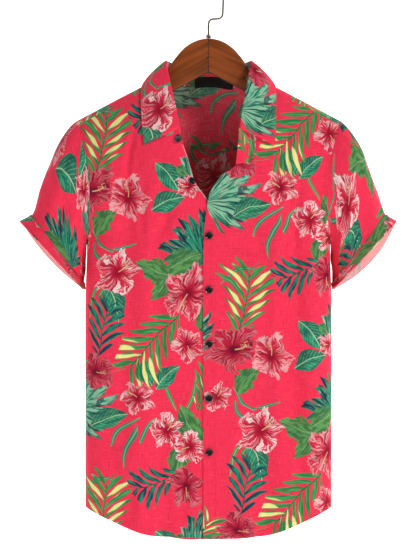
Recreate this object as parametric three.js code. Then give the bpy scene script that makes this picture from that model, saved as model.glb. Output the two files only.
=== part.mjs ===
// A short-sleeved hawaiian shirt, open at the neck, on a flat wooden hanger.
// Millimetres, +Z up, the front faces -Y, and +X is the wearer's left.
// The origin is the inside top of the hook, where a rail carries the hanger.
import * as THREE from "three";

// Cloth
const CLOTH = 1.2;
const COLLAR_BAND = 1.6;
const FRONT_BAND = { thickness: 1.8, width: 20 };
const HEM_FOLD = { thickness: 1.9, height: 12 };
const SEAM_GAP = 0.3;

// Body: a flattened tube that hangs straight down from the arms
const HALF_WIDTH = 195;
const FULL_DEPTH = { front: 62, back: 68 };
const SQUARENESS = 4.4;
const COLUMN_EVENNESS = 0.5;
const UNDERARM_Z = -418;
const ARMPIT_TUCK = { depth: 2.5, endZ: -520 };
const SHOULDER_SPREAD = { width: 50, topZ: -308 };

// Shoulder ridge, where the cloth lies over the hanger's arms
const SHOULDER_SLOPE = 0.545;
const SHOULDER_REFERENCE = { x: 105, z: -171 };
const RIDGE_BLEND = 40;
const RIDGE_RADIUS = 9;
const YOKE_FORWARD = 15;
const SHOULDER_TIP_Z = -232;
const YOKE_BACK_Z = -275;

// How far below the ridge the cloth takes to swing out to its full depth
const SWING = { neckX: 30, tipX: 230, front: 110, back: 60, tip: 220 };

// Hem: a shallow shirt tail, a little longer at the back
const HEM = {
  front: { middleZ: -885, rise: 50 },
  back: { middleZ: -893, rise: 57 },
  power: 2.6,
};

// Closure. The right front passes under the left one.
const UNDERLAP = { inset: 2.2, fullX: -18, noneX: -60 };
const BUTTON = { radius: 6, thickness: 2.4, rim: 0.7, sides: 14, standOff: 0.6 };
const CLOSED_BUTTONS = { count: 5, x: 0.8, topZ: -408, pitch: 85.3 };
const OPEN_BUTTON = { x: -27, z: -322 };
const NORMAL_REACH = 4;
const COLLAR_BUTTON = { at: -0.988, up: 0.24 };

// Sleeves and turned-up cuffs
const CUFF = { gap: 0.4, thickness: 1.6 };
const MOUTH_DROP = { right: 8, left: 15 };

// Hanger, a flat board in two halves that meet in the middle
const BOARD = { thickness: 12, bevel: 2.4, endX: 203, underCloth: 3.4 };
const WIRE_RADIUS = 1.6;
const HOOK_RADIUS = 23.5;
const FERRULE = { radius: 4, height: 5.5, bore: 1.95, topRadius: 3, shoulder: 4.3, sides: 20 };

// Label inside the back of the neck
const LABEL = { fromX: -21.5, toX: 38, above: 11.5, below: 5.5, thickness: 0.8, rows: 2, columns: 6 };

const lerp = (a, b, t) => a + (b - a) * t;
const clamp01 = (t) => Math.min(1, Math.max(0, t));
const evenly = (count) => Array.from({ length: count + 1 }, (_, i) => i / count);

function smooth(from, to, value) {
  const t = clamp01((value - from) / (to - from));
  return t * t * (3 - 2 * t);
}

// Reads a column of a table at a place along its key column, with a curve that never overshoots.
function readTable(rows, key, column, place) {
  const sorted = rows[rows.length - 1][key] > rows[0][key] ? rows : [...rows].reverse();
  const last = sorted.length - 1;
  if (place <= sorted[0][key]) return sorted[0][column];
  if (place >= sorted[last][key]) return sorted[last][column];
  const i = sorted.findIndex((row) => row[key] > place) - 1;
  const slope = (n) => (sorted[n + 1][column] - sorted[n][column]) / (sorted[n + 1][key] - sorted[n][key]);
  const tangent = (n) => {
    if (n === 0) return slope(0);
    if (n === last) return slope(last - 1);
    const product = slope(n - 1) * slope(n);
    return product <= 0 ? 0 : (2 * product) / (slope(n - 1) + slope(n));
  };
  const span = sorted[i + 1][key] - sorted[i][key];
  const t = (place - sorted[i][key]) / span;
  const ease = t * t * (3 - 2 * t);
  const bend = tangent(i) * t * (1 - t) ** 2 - tangent(i + 1) * t * t * (1 - t);
  return lerp(sorted[i][column], sorted[i + 1][column], ease) + span * bend;
}

// Height of the shoulder ridge at a distance from the middle.
function ridgeZ(x) {
  const reach = Math.hypot(x, RIDGE_BLEND) - Math.hypot(SHOULDER_REFERENCE.x, RIDGE_BLEND);
  return SHOULDER_REFERENCE.z - SHOULDER_SLOPE * reach;
}

// Half width of the tube. Above the underarm it only guides the panels, which the armholes cut.
function halfWidth(z) {
  const tuck = ARMPIT_TUCK.depth * smooth(ARMPIT_TUCK.endZ, UNDERARM_Z, z);
  const spread = (SHOULDER_SPREAD.width + ARMPIT_TUCK.depth) * smooth(UNDERARM_Z, SHOULDER_SPREAD.topZ, z);
  return HALF_WIDTH - tuck + spread;
}

// The largest folds, each a soft trough with a low bank on both sides.
// A fold starts at x at its top and has drifted by drift at its bottom.
const FOLDS = [
  { face: "front", x: 135, drift: 3, width: 14, depth: 9, topZ: -300, bottomZ: -770 },
  { face: "front", x: 176, drift: 4, width: 10, depth: 4, topZ: -285, bottomZ: -470 },
  { face: "front", x: -124, drift: -4, width: 15, depth: 4.5, topZ: -215, bottomZ: -560 },
  { face: "front", x: -84, drift: 6, width: 12, depth: 3, topZ: -360, bottomZ: -620 },
  { face: "front", x: -163, drift: 22, width: 16, depth: 6, topZ: -600, bottomZ: -900 },
  { face: "front", x: 84, drift: 12, width: 20, depth: 5, topZ: -690, bottomZ: -930 },
  { face: "front", x: -60, drift: -8, width: 22, depth: 3.5, topZ: -560, bottomZ: -900 },
  { face: "back", x: 88, drift: 10, width: 24, depth: 17, topZ: -300, bottomZ: -960 },
  { face: "back", x: -96, drift: -8, width: 25, depth: 16, topZ: -310, bottomZ: -960 },
  { face: "back", x: -6, drift: 10, width: 26, depth: 9, topZ: -420, bottomZ: -960 },
  { face: "back", x: 158, drift: -4, width: 14, depth: 8, topZ: -400, bottomZ: -820 },
  { face: "back", x: -160, drift: 6, width: 14, depth: 7, topZ: -430, bottomZ: -860 },
];
const FOLD_BANK = { place: 1.9, share: 0.35 };
const FOLD_FADE = { full: 0.35, outFrom: 0.75, outTo: 1.15, out: 0.8 };

function foldDepth(face, x, z) {
  let sum = 0;
  for (const fold of FOLDS) {
    const along = (fold.topZ - z) / (fold.topZ - fold.bottomZ);
    if (fold.face !== face || along <= 0) continue;
    const fadeOut = FOLD_FADE.out * smooth(FOLD_FADE.outFrom, FOLD_FADE.outTo, along);
    const fade = smooth(0, FOLD_FADE.full, along) * (1 - fadeOut);
    const off = (x - fold.x - fold.drift * along) / fold.width;
    const banks = Math.exp(-((off - FOLD_BANK.place) ** 2)) + Math.exp(-((off + FOLD_BANK.place) ** 2));
    sum += fold.depth * fade * (Math.exp(-off * off) - FOLD_BANK.share * banks);
  }
  return sum;
}

// A point of the body's outer face, from x and height. Fronts, back, yoke and collar share it.
function bodyPoint(face, x, z) {
  const side = face === "front" ? -1 : 1;
  const full = FULL_DEPTH[face];
  const below = Math.max(0, ridgeZ(x) - z);
  const swing = lerp(SWING[face], SWING.tip, smooth(SWING.neckX, SWING.tipX, Math.abs(x)));
  const roundness = (full * full) / (2 * RIDGE_RADIUS);
  const depth = full * (1 - Math.exp(-Math.sqrt(below / roundness) - below / swing));
  const across = Math.min(1, Math.abs(x) / halfWidth(z));
  const taper = Math.max(0, 1 - across ** SQUARENESS) ** (1 / SQUARENESS);
  return new THREE.Vector3(x, side * (depth * taper - foldDepth(face, x, z) * taper * taper), z);
}

// A turn is an angle round the tube: 0 at the middle of a face, a right angle at its side.
function xFromTurn(turn, z) {
  const lean = COLUMN_EVENNESS * Math.tan(Math.min(Math.abs(turn), Math.PI / 2 - 1e-4));
  const reach = lean / (1 + lean ** SQUARENESS) ** (1 / SQUARENESS);
  return Math.sign(turn) * reach * halfWidth(z);
}

function turnFromX(x, z) {
  const reach = Math.min(0.999999, Math.abs(x) / halfWidth(z));
  const lean = reach / (1 - reach ** SQUARENESS) ** (1 / SQUARENESS);
  return Math.sign(x) * Math.atan(lean / COLUMN_EVENNESS);
}

// A point beside the shoulder ridge, from x and the signed way over it: the front is negative.
function overRidge(x, over) {
  const below = Math.hypot(over, RIDGE_RADIUS) - RIDGE_RADIUS;
  return bodyPoint(over < 0 ? "front" : "back", x, ridgeZ(x) - below);
}

function overFromZ(x, z) {
  const below = Math.max(0, ridgeZ(x) - z);
  return Math.sqrt((below + RIDGE_RADIUS) ** 2 - RIDGE_RADIUS ** 2);
}

function hemZ(face, x) {
  const { middleZ, rise } = HEM[face];
  return middleZ + rise * Math.min(1, Math.abs(x) / HALF_WIDTH) ** HEM.power;
}

// Armhole seam, alike on the front and the back, from the shoulder tip towards the underarm.
const ARMHOLE = [
  { z: -222, x: 208 },
  { z: -245, x: 203.5 },
  { z: -270, x: 196.5 },
  { z: -306, x: 189 },
  { z: -345, x: 187.5 },
  { z: -372, x: 188.2 },
  { z: -392, x: 188.8 },
];
const ARMHOLE_ROUND_Z = -392;

function armholeX(z) {
  return readTable(ARMHOLE, "z", "x", z);
}

// The armhole as a turn, which swings round to the side seam under the arm.
function armholeTurn(z) {
  const held = Math.max(z, ARMHOLE_ROUND_Z);
  const straight = turnFromX(armholeX(held), held);
  const down = clamp01((ARMHOLE_ROUND_Z - z) / (ARMHOLE_ROUND_Z - UNDERARM_Z));
  return lerp(straight, Math.PI / 2, 1 - Math.sqrt(1 - down * down));
}

// Free edge of each front, from the collar to the hem.
const FRONT_EDGE = {
  left: [
    { z: -297, x: 43 },
    { z: -303, x: 36 },
    { z: -312, x: 22 },
    { z: -322, x: 13.4 },
    { z: -342, x: 1.5 },
    { z: -375, x: -4 },
    { z: -400, x: -6.8 },
    { z: -440, x: -8.2 },
    { z: -900, x: -8.2 },
  ],
  right: [
    { z: -262, x: -41 },
    { z: -286, x: -32.5 },
    { z: -304, x: -27.5 },
    { z: -324, x: -21 },
    { z: -345, x: -6 },
    { z: -362, x: 4 },
    { z: -385, x: 9 },
    { z: -430, x: 12 },
    { z: -900, x: 12 },
  ],
};
const FRONT_TOP_Z = { left: -297, right: -262 };
const CURL = { reach: 13, depth: 7, topZ: -260, belowCollarZ: -292, fullZ: -325, noneZ: -375 };

// How far a front lies inside the body's outer face: the underlap, and an edge that curls in.
function frontInset(side, x, z) {
  if (side === "left") return 0;
  const under = UNDERLAP.inset * smooth(UNDERLAP.noneX, UNDERLAP.fullX, x);
  const fromEdge = readTable(FRONT_EDGE.right, "z", "x", z) - x;
  const curl = clamp01(1 - fromEdge / CURL.reach) ** 2 * smooth(CURL.noneZ, CURL.fullZ, z);
  return under + CURL.depth * curl * smooth(CURL.topZ, CURL.belowCollarZ, z);
}

function frontPoint(side, x, z) {
  const point = bodyPoint("front", x, z);
  point.y += frontInset(side, x, z);
  return point;
}

// Collar, from the middle of the back (at 0) round one side to its front end (at 1).
// The seam and the leaf's outer edge are ways over the ridge, and the roll line is free.
const COLLAR = [
  { at: 0, seamX: 0, seamOver: 42, rollX: 0, rollY: 43, rollZ: -141, outX: 0, outOver: 60 },
  { at: 0.12, seamX: 28, seamOver: 40, rollX: 28, rollY: 39.5, rollZ: -140, outX: 38, outOver: 58 },
  { at: 0.25, seamX: 53, seamOver: 28, rollX: 53, rollY: 26, rollZ: -136.5, outX: 74, outOver: 45 },
  { at: 0.36, seamX: 68, seamOver: 12, rollX: 65.5, rollY: 8, rollZ: -132.5, outX: 97, outOver: 22 },
  { at: 0.44, seamX: 73, seamOver: 0, rollX: 68, rollY: -6, rollZ: -132, outX: 105, outOver: 3 },
  { at: 0.52, seamX: 75, seamOver: -15, rollX: 67.5, rollY: -18, rollZ: -138, outX: 107, outOver: -16 },
  { at: 0.64, seamX: 76, seamOver: -42, rollX: 64, rollY: -31, rollZ: -156, outX: 107.5, outOver: -38 },
  { at: 0.78, seamX: 76, seamOver: -80, rollX: 58.5, rollY: -43, rollZ: -188, outX: 107, outOver: -61 },
  { at: 0.9, seamX: 73.5, seamOver: -124, rollX: 53, rollY: -51, rollZ: -217, outX: 106, outOver: -84 },
  { at: 0.96, seamX: 65, seamOver: -148, rollX: 50.5, rollY: -54, rollZ: -231, outX: 105, outOver: -96 },
  { at: 1, seamX: 43, seamOver: -163, rollX: 49, rollY: -56, rollZ: -241, outX: 104, outOver: -105 },
];
// The right front's collar end lies higher and nearer the middle.
const RIGHT_END = { from: 0.55, seamX: 2.4, seamOver: 33.5, roll: 2.6, out: 2.5 };
const SHOULDER_AT = 0.52;
const LEAF = { startGap: 0.8, lift: 3, bulge: 3.2 };

function collarStation(at) {
  const half = Math.abs(at);
  const sign = at < 0 ? -1 : 1;
  const read = (column) => readTable(COLLAR, "at", column, half);
  const shift = sign < 0 ? smooth(RIGHT_END.from, 1, half) : 0;
  const outX = sign * (read("outX") - RIGHT_END.out * shift);
  const rest = overRidge(outX, read("outOver"));
  const along = overRidge(outX, read("outOver") + 1).sub(rest);
  const away = along.cross(new THREE.Vector3(1, 0, 0)).normalize();
  if (away.z < 0) away.negate();
  return {
    seam: overRidge(
      sign * (read("seamX") - RIGHT_END.seamX * shift),
      read("seamOver") + RIGHT_END.seamOver * shift,
    ),
    roll: new THREE.Vector3(sign * (read("rollX") - RIGHT_END.roll * shift), read("rollY"), read("rollZ")),
    out: rest.addScaledVector(away, LEAF.lift),
  };
}

// Normals of a grid of points, from the neighbours of each.
function gridNormals(grid, closed) {
  const columns = grid[0].length;
  const wrap = (j) => (closed ? (j + columns) % columns : Math.min(columns - 1, Math.max(0, j)));
  return grid.map((row, i) =>
    row.map((_, j) => {
      const below = grid[Math.min(grid.length - 1, i + 1)][j];
      const above = grid[Math.max(0, i - 1)][j];
      const across = row[wrap(j + 1)].clone().sub(row[wrap(j - 1)]);
      return across.cross(below.clone().sub(above)).normalize();
    }),
  );
}

// Moves a grid along its normals, away from a middle point where the distance is positive.
function moved(grid, distance, { closed = false, middle = null } = {}) {
  const normals = gridNormals(grid, closed);
  const i = Math.floor(grid.length / 2);
  const j = Math.floor(grid[0].length / 3);
  const from = middle ?? new THREE.Vector3(0, 0, grid[i][j].z);
  const outward = normals[i][j].dot(grid[i][j].clone().sub(from)) > 0 ? 1 : -1;
  return grid.map((row, r) =>
    row.map((point, c) => {
      const amount = typeof distance === "function" ? distance(point) : distance;
      return point.clone().addScaledVector(normals[r][c], outward * amount);
    }),
  );
}

function closedGeometry(vertices, triangles) {
  let volume = 0;
  for (const [a, b, c] of triangles) {
    volume += vertices[a].dot(new THREE.Vector3().crossVectors(vertices[b], vertices[c]));
  }
  const outwards = volume < 0 ? triangles.map(([a, b, c]) => [a, c, b]) : triangles;
  const positions = vertices.flatMap((point) => [point.x, point.y, point.z]);
  const geometry = new THREE.BufferGeometry();
  geometry.setAttribute("position", new THREE.Float32BufferAttribute(positions, 3));
  geometry.setIndex(outwards.flat());
  geometry.computeVertexNormals();
  return geometry;
}

// A closed wall between two grids of points, edged all round.
function wallBetween(outer, inner, closed = false) {
  const rows = outer.length;
  const columns = outer[0].length;
  const inside = rows * columns;
  const at = (i, j) => i * columns + (j % columns);
  const triangles = [];
  const quad = (a, b, c, d) => triangles.push([a, b, c], [a, c, d]);
  const spans = closed ? columns : columns - 1;
  for (let j = 0; j < spans; j += 1) {
    for (let i = 0; i < rows - 1; i += 1) {
      quad(at(i, j), at(i, j + 1), at(i + 1, j + 1), at(i + 1, j));
      quad(inside + at(i, j), inside + at(i + 1, j), inside + at(i + 1, j + 1), inside + at(i, j + 1));
    }
    quad(at(0, j), inside + at(0, j), inside + at(0, j + 1), at(0, j + 1));
    quad(at(rows - 1, j), at(rows - 1, j + 1), inside + at(rows - 1, j + 1), inside + at(rows - 1, j));
  }
  const end = columns - 1;
  for (let i = 0; i < rows - 1 && !closed; i += 1) {
    quad(at(i, 0), at(i + 1, 0), inside + at(i + 1, 0), inside + at(i, 0));
    quad(at(i, end), inside + at(i, end), inside + at(i + 1, end), at(i + 1, end));
  }
  return closedGeometry([...outer.flat(), ...inner.flat()], triangles);
}

function clothWall(grid, thickness = CLOTH, options = {}) {
  const inward = typeof thickness === "function" ? (point) => -thickness(point) : -thickness;
  return wallBetween(grid, moved(grid, inward, options), options.closed);
}

// Stations of the collar where the panels' edges meet it, so that both bend alike.
const YOKE_STATIONS = [0, 0.06, 0.12, 0.18, 0.23, 0.27, 0.31, 0.34, 0.37, 0.39, 0.41, 0.425, 0.44, 0.47, SHOULDER_AT];
const FRONT_STATIONS = [0.58, 0.64, 0.71, 0.78, 0.84, 0.9, 0.93, 0.96, 0.98, 1];
const NECK_STATIONS = [SHOULDER_AT, ...FRONT_STATIONS];

// Rows of a front or back. The upper ones end in the armhole, and the lower ones in the side seam.
const ARMHOLE_STEPS = NECK_STATIONS.length - 1;
const SIDE_STEPS = 11;
const ARMHOLE_SHARE = ARMHOLE_STEPS / (ARMHOLE_STEPS + SIDE_STEPS);
const PANEL_ROWS = evenly(ARMHOLE_STEPS + SIDE_STEPS);
const FRONT_COLUMNS = 16;
const BACK_COLUMNS = 28;
const NECK_GAP = 0.45;
const SHOULDER_GAP = 0.8;
const EDGE_CROWDING = 1.45;
const SIDE_SEAM_TURN = Math.PI / 2 - 0.004;
const COLUMN_DRIFT = { fromZ: -345, toZ: -640, power: 4, rounds: 6 };

// Fills a patch of places between its four edges, each read from 0 to 1.
function patch({ top, bottom, first, last }, across, down) {
  const blend = (u, v, key) => {
    const corners = lerp(lerp(top(0)[key], top(1)[key], u), lerp(bottom(0)[key], bottom(1)[key], u), v);
    return lerp(top(u)[key], bottom(u)[key], v) + lerp(first(v)[key], last(v)[key], u) - corners;
  };
  return down.map((v) => across.map((u) => ({ share: blend(u, v, "share"), z: blend(u, v, "z") })));
}

// The turn at which a panel ends at a height: the armhole, or below it the side seam.
function edgeTurn(z) {
  return z > UNDERARM_Z ? Math.min(armholeTurn(z), SIDE_SEAM_TURN) : SIDE_SEAM_TURN;
}

// The turn by which a column is placed. At the underarm the outer columns swing out with the
// armhole, and the inner ones drift out slowly below it.
function columnTurn(share, z) {
  const calm = edgeTurn(Math.max(z, COLUMN_DRIFT.fromZ));
  const drifted = lerp(calm, SIDE_SEAM_TURN, smooth(COLUMN_DRIFT.fromZ, COLUMN_DRIFT.toZ, z));
  return lerp(drifted, edgeTurn(z), Math.abs(share) ** COLUMN_DRIFT.power);
}

// Places on a panel are a height and a share of the turn to its outer edge.
function xFromShare(share, z) {
  return xFromTurn(share * columnTurn(share, z), z);
}

function placeAt(x, z) {
  const turn = turnFromX(x, z);
  let share = turn / edgeTurn(z);
  for (let i = 0; i < COLUMN_DRIFT.rounds; i += 1) share = turn / columnTurn(share, z);
  return { share, z };
}

function armholeRowZ(topZ, v) {
  return lerp(topZ, UNDERARM_Z, Math.sin((v / ARMHOLE_SHARE) * (Math.PI / 2)));
}

// Outer edge of a panel: the armhole, then the side seam.
function outerEdge(face, topZ) {
  return (v) => {
    if (v <= ARMHOLE_SHARE) return { share: 1, z: armholeRowZ(topZ, v) };
    const down = (v - ARMHOLE_SHARE) / (1 - ARMHOLE_SHARE);
    return { share: 1, z: lerp(UNDERARM_Z, hemZ(face, HALF_WIDTH), down) };
  };
}

// Inner edge of a front: down the collar seam, then down the free edge. Places are towards its own side.
function innerEdge(side) {
  const sign = side === "left" ? 1 : -1;
  return (v) => {
    const row = v * (ARMHOLE_STEPS + SIDE_STEPS);
    if (v <= ARMHOLE_SHARE + 1e-9) {
      const i = Math.min(ARMHOLE_STEPS - 1, Math.floor(row + 1e-9));
      const { seam } = collarStation(sign * lerp(NECK_STATIONS[i], NECK_STATIONS[i + 1], row - i));
      return placeAt(Math.abs(seam.x) + NECK_GAP, seam.z - NECK_GAP);
    }
    const down = ((v - ARMHOLE_SHARE) / (1 - ARMHOLE_SHARE)) ** EDGE_CROWDING;
    const z = lerp(FRONT_TOP_Z[side], hemZ("front", 0), down);
    return placeAt(sign * readTable(FRONT_EDGE[side], "z", "x", z), z);
  };
}

// How far forward of the ridge the yoke's front seam lies, from the neck (0) to the tip (1).
function shoulderSeamOver(out) {
  return lerp(YOKE_FORWARD, overFromZ(armholeX(SHOULDER_TIP_Z), SHOULDER_TIP_Z), out);
}

function frontGrid(side) {
  const sign = side === "left" ? 1 : -1;
  const first = innerEdge(side);
  const neckX = Math.abs(collarStation(sign * SHOULDER_AT).seam.x) + NECK_GAP;
  const top = (u) => {
    const x = lerp(neckX, armholeX(SHOULDER_TIP_Z), u);
    return placeAt(x, overRidge(x, -shoulderSeamOver(u)).z - SHOULDER_GAP);
  };
  const bottom = (u) => {
    const share = lerp(first(1).share, 1, u);
    return { share, z: hemZ("front", xFromShare(share, HEM.front.middleZ)) };
  };
  const edges = { top, bottom, first, last: outerEdge("front", top(1).z) };
  return patch(edges, evenly(FRONT_COLUMNS), PANEL_ROWS).map((row) =>
    row.map(({ share, z }) => frontPoint(side, sign * xFromShare(share, z), z)),
  );
}

function hemAllowance(face, point) {
  return point.z < hemZ(face, point.x) + HEM_FOLD.height ? HEM_FOLD.thickness : CLOTH;
}

function frontThickness(side) {
  return (point) => {
    const fromEdge = Math.abs(point.x - readTable(FRONT_EDGE[side], "z", "x", point.z));
    const banded = side === "left" && fromEdge < FRONT_BAND.width ? FRONT_BAND.thickness : CLOTH;
    return Math.max(banded, hemAllowance("front", point));
  };
}

function backGrid() {
  const topZ = YOKE_BACK_Z - SEAM_GAP;
  const last = outerEdge("back", topZ);
  return PANEL_ROWS.map((v) =>
    evenly(BACK_COLUMNS).map((t) => {
      const across = 2 * t - 1;
      const middleZ = lerp(topZ, HEM.back.middleZ, v);
      const hemRise = hemZ("back", xFromShare(across, HEM.back.middleZ)) - HEM.back.middleZ;
      const edgeRise = last(v).z - middleZ - v * HEM.back.rise;
      const z = middleZ + v * hemRise + across * across * edgeRise;
      return bodyPoint("back", xFromShare(across, z), z);
    }),
  );
}

// Yoke: rays from the collar seam to its back seam, armholes and front seams, one for each station.
const YOKE_ROWS = 6;
const YOKE_BACK_X = [0, 27, 58, 90, 120, 147, 173];
const YOKE_ARMHOLE = [
  { face: "back", z: YOKE_BACK_Z },
  { face: "back", z: -257 },
  { face: "back", z: -243 },
  { face: "back", z: -234 },
  { face: "back", z: -228.5 },
  { face: "back", z: -225.2 },
  { face: "front", z: -227.5 },
  { face: "front", z: SHOULDER_TIP_Z },
];

// The outer ends of the rays, in ways over the ridge.
function yokeOuterEnds() {
  const alongBack = YOKE_BACK_X.map((x) => ({ x, over: overFromZ(x, YOKE_BACK_Z) }));
  const alongArmhole = YOKE_ARMHOLE.map(({ face, z }) => ({
    x: armholeX(z),
    over: overFromZ(armholeX(z), z) * (face === "front" ? -1 : 1),
  }));
  return [...alongBack, ...alongArmhole];
}

function yokeGrid() {
  const halfRays = yokeOuterEnds().map(({ x, over }, i) => {
    const at = YOKE_STATIONS[i];
    const seamOver = at === SHOULDER_AT ? -YOKE_FORWARD : readTable(COLLAR, "at", "seamOver", at);
    return { seamX: readTable(COLLAR, "at", "seamX", at), seamOver, x, over };
  });
  const mirrored = halfRays.slice(1).reverse().map((ray) => ({ ...ray, seamX: -ray.seamX, x: -ray.x }));
  return evenly(YOKE_ROWS).map((t) =>
    [...mirrored, ...halfRays].map(({ seamX, seamOver, x, over }) => {
      const s = t + (NECK_GAP * (1 - t)) / Math.hypot(x - seamX, over - seamOver);
      return overRidge(lerp(seamX, x, s), lerp(seamOver, over, s));
    }),
  );
}

const STAND_ROWS = 2;
const LEAF_ROWS = 6;

function collarStations() {
  const half = [...YOKE_STATIONS, ...FRONT_STATIONS];
  return [...half.slice(1).reverse().map((at) => -at), ...half].map(collarStation);
}

function standGrid() {
  const stations = collarStations();
  return evenly(STAND_ROWS).map((t) =>
    stations.map(({ seam, roll }) => {
      const foot = seam.clone().addScaledVector(roll.clone().sub(seam).normalize(), SEAM_GAP);
      return foot.lerp(roll, t);
    }),
  );
}

function leafGrid() {
  const stations = collarStations();
  const away = CLOTH + LEAF.startGap;
  return evenly(LEAF_ROWS).map((t) =>
    stations.map(({ seam, roll, out }, j) => {
      const next = stations[Math.min(stations.length - 1, j + 1)].roll;
      const before = stations[Math.max(0, j - 1)].roll;
      const outward = next.clone().sub(before).cross(roll.clone().sub(seam)).normalize();
      if (outward.dot(new THREE.Vector3(roll.x, roll.y, 0)) < 0) outward.negate();
      const push = away * (1 - t) + LEAF.bulge * Math.sin(Math.PI * t) ** 0.8;
      return roll.clone().lerp(out, t).addScaledVector(outward, push);
    }),
  );
}

function labelGrid() {
  return evenly(LABEL.rows).map((t) =>
    evenly(LABEL.columns).map((u) => {
      const x = lerp(LABEL.fromX, LABEL.toX, u);
      const { seam, roll } = collarStation(Math.sign(x) * readTable(COLLAR, "seamX", "at", Math.abs(x)));
      const up = roll.clone().sub(seam).normalize();
      const point = seam.clone().addScaledVector(up, lerp(LABEL.above, -LABEL.below, t));
      point.y -= COLLAR_BAND + SEAM_GAP + LABEL.thickness / 2;
      return point;
    }),
  );
}

// Sleeve sections along the arm: top and bottom of each, and its half depth.
const SLEEVE = [
  { t: 0, topX: 208, topZ: -224, bottomX: 191, bottomZ: -418, depth: 40 },
  { t: 0.1, topX: 222.5, topZ: -234, bottomX: 193.6, bottomZ: -427, depth: 43 },
  { t: 0.22, topX: 235.5, topZ: -254, bottomX: 194, bottomZ: -438, depth: 46 },
  { t: 0.42, topX: 252, topZ: -293, bottomX: 194.4, bottomZ: -452, depth: 47 },
  { t: 0.64, topX: 268, topZ: -336, bottomX: 195.6, bottomZ: -468, depth: 46 },
  { t: 0.84, topX: 281, topZ: -375, bottomX: 197, bottomZ: -483, depth: 46 },
  { t: 1, topX: 298, topZ: -386, bottomX: 197.6, bottomZ: -493, depth: 53 },
];
const SLEEVE_STATIONS = [0, 0.05, 0.11, 0.19, 0.29, 0.41, 0.54, 0.68, 0.84, 0.89, 0.95, 1];
const CUFF_STATIONS = [0.84, 0.89, 0.95, 1];
const SLEEVE_ROUNDNESS = 0.85;
// Near the armhole the sleeve blends from the seam's line, and keeps clear of the body.
const ARMHOLE_BLEND = { until: 0.34, power: 0.7 };
const ARMHOLE_CLEARANCE = { spread: 40, until: 0.3 };
const MOUTH_DROP_FROM = 0.5;

// Creases down the sleeves. A turn is 0 at the top and negative on the front.
const SLEEVE_FOLDS = [
  { side: "right", turn: -2.3, width: 0.22, depth: 8, from: 0.02, to: 0.85 },
  { side: "right", turn: -1.45, width: 0.26, depth: 4, from: 0.2, to: 0.95 },
  { side: "right", turn: 2.2, width: 0.24, depth: 8, from: 0.02, to: 0.85 },
  { side: "left", turn: -2.3, width: 0.22, depth: 8, from: 0.02, to: 0.9 },
  { side: "left", turn: -1.3, width: 0.24, depth: 4.5, from: 0.3, to: 0.95 },
  { side: "left", turn: 2.15, width: 0.24, depth: 8, from: 0.02, to: 0.85 },
];
const SLEEVE_FOLD_FADE = { full: 0.25, outFrom: 0.6 };

const ARMHOLE_TOP_Z = -225.2;

// The turns round the sleeve at which the panels' rows meet the armhole.
function ringTurns() {
  const down = (z) => Math.acos(1 - (2 * (z - ARMHOLE_TOP_Z)) / (UNDERARM_Z - ARMHOLE_TOP_Z));
  const armholeRows = PANEL_ROWS.slice(1, ARMHOLE_STEPS + 1);
  const rows = (topZ) => armholeRows.map((v) => armholeRowZ(topZ, v));
  const front = rows(SHOULDER_TIP_Z - SHOULDER_GAP).map((z) => -down(z));
  const cap = YOKE_ARMHOLE.map(({ face, z }) => (face === "front" ? -1 : 1) * down(z));
  const back = rows(YOKE_BACK_Z - SEAM_GAP).slice(0, -1).map(down);
  return [...front.reverse(), ...cap.reverse(), ...back];
}

// A point of the armhole seam, at a turn round it.
function armholePoint(turn) {
  const face = turn < 0 ? "front" : "back";
  const z = lerp(ARMHOLE_TOP_Z, UNDERARM_Z, (1 - Math.cos(turn)) / 2);
  return bodyPoint(face, xFromTurn(Math.min(armholeTurn(z), SIDE_SEAM_TURN), z), z);
}

function sleevePoint(side, t, turn) {
  const read = (column) => readTable(SLEEVE, "t", column, t);
  const top = new THREE.Vector3(read("topX"), 0, read("topZ"));
  const bottom = new THREE.Vector3(read("bottomX"), 0, read("bottomZ"));
  const point = top.clone().lerp(bottom, (1 - Math.cos(turn)) / 2);
  point.y = read("depth") * Math.sign(turn) * Math.abs(Math.sin(turn)) ** SLEEVE_ROUNDNESS;
  for (const fold of SLEEVE_FOLDS) {
    if (fold.side !== side) continue;
    const along = (t - fold.from) / (fold.to - fold.from);
    const strength = smooth(0, SLEEVE_FOLD_FADE.full, along) * (1 - smooth(SLEEVE_FOLD_FADE.outFrom, 1, along));
    point.y -= Math.sign(turn) * fold.depth * strength * Math.exp(-(((turn - fold.turn) / fold.width) ** 2));
  }
  const towardsMouth = clamp01((t - MOUTH_DROP_FROM) / (1 - MOUTH_DROP_FROM));
  const drop = MOUTH_DROP[side] * towardsMouth ** 2 * Math.max(0, Math.sin(turn)) ** 2;
  const across = bottom.sub(top).normalize();
  point.x -= across.z * drop;
  point.z += across.x * drop;
  const seam = armholePoint(turn);
  seam.x += 2 * SEAM_GAP;
  const clearX = seam.x + ARMHOLE_CLEARANCE.spread * t * (1 - smooth(0, ARMHOLE_CLEARANCE.until, t));
  const blended = seam.lerp(point, smooth(0, ARMHOLE_BLEND.until, t) ** ARMHOLE_BLEND.power);
  blended.x = Math.max(blended.x, clearX);
  if (side === "right") blended.x *= -1;
  return blended;
}

function sleeveGrid(side, stations) {
  return stations.map((t) => ringTurns().map((turn) => sleevePoint(side, t, turn)));
}

function middleOf(grid) {
  const row = grid[Math.floor(grid.length / 2)];
  return row.reduce((sum, point) => sum.add(point), new THREE.Vector3()).divideScalar(row.length);
}

function sleeveGeometry(side) {
  const grid = sleeveGrid(side, SLEEVE_STATIONS);
  return clothWall(grid, CLOTH, { closed: true, middle: middleOf(grid) });
}

// The cuff's cloth is turned up over the sleeve's end.
function cuffGeometry(side) {
  const grid = sleeveGrid(side, CUFF_STATIONS);
  const options = { closed: true, middle: middleOf(grid) };
  return wallBetween(moved(grid, CUFF.gap + CUFF.thickness, options), moved(grid, CUFF.gap, options), true);
}

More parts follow.
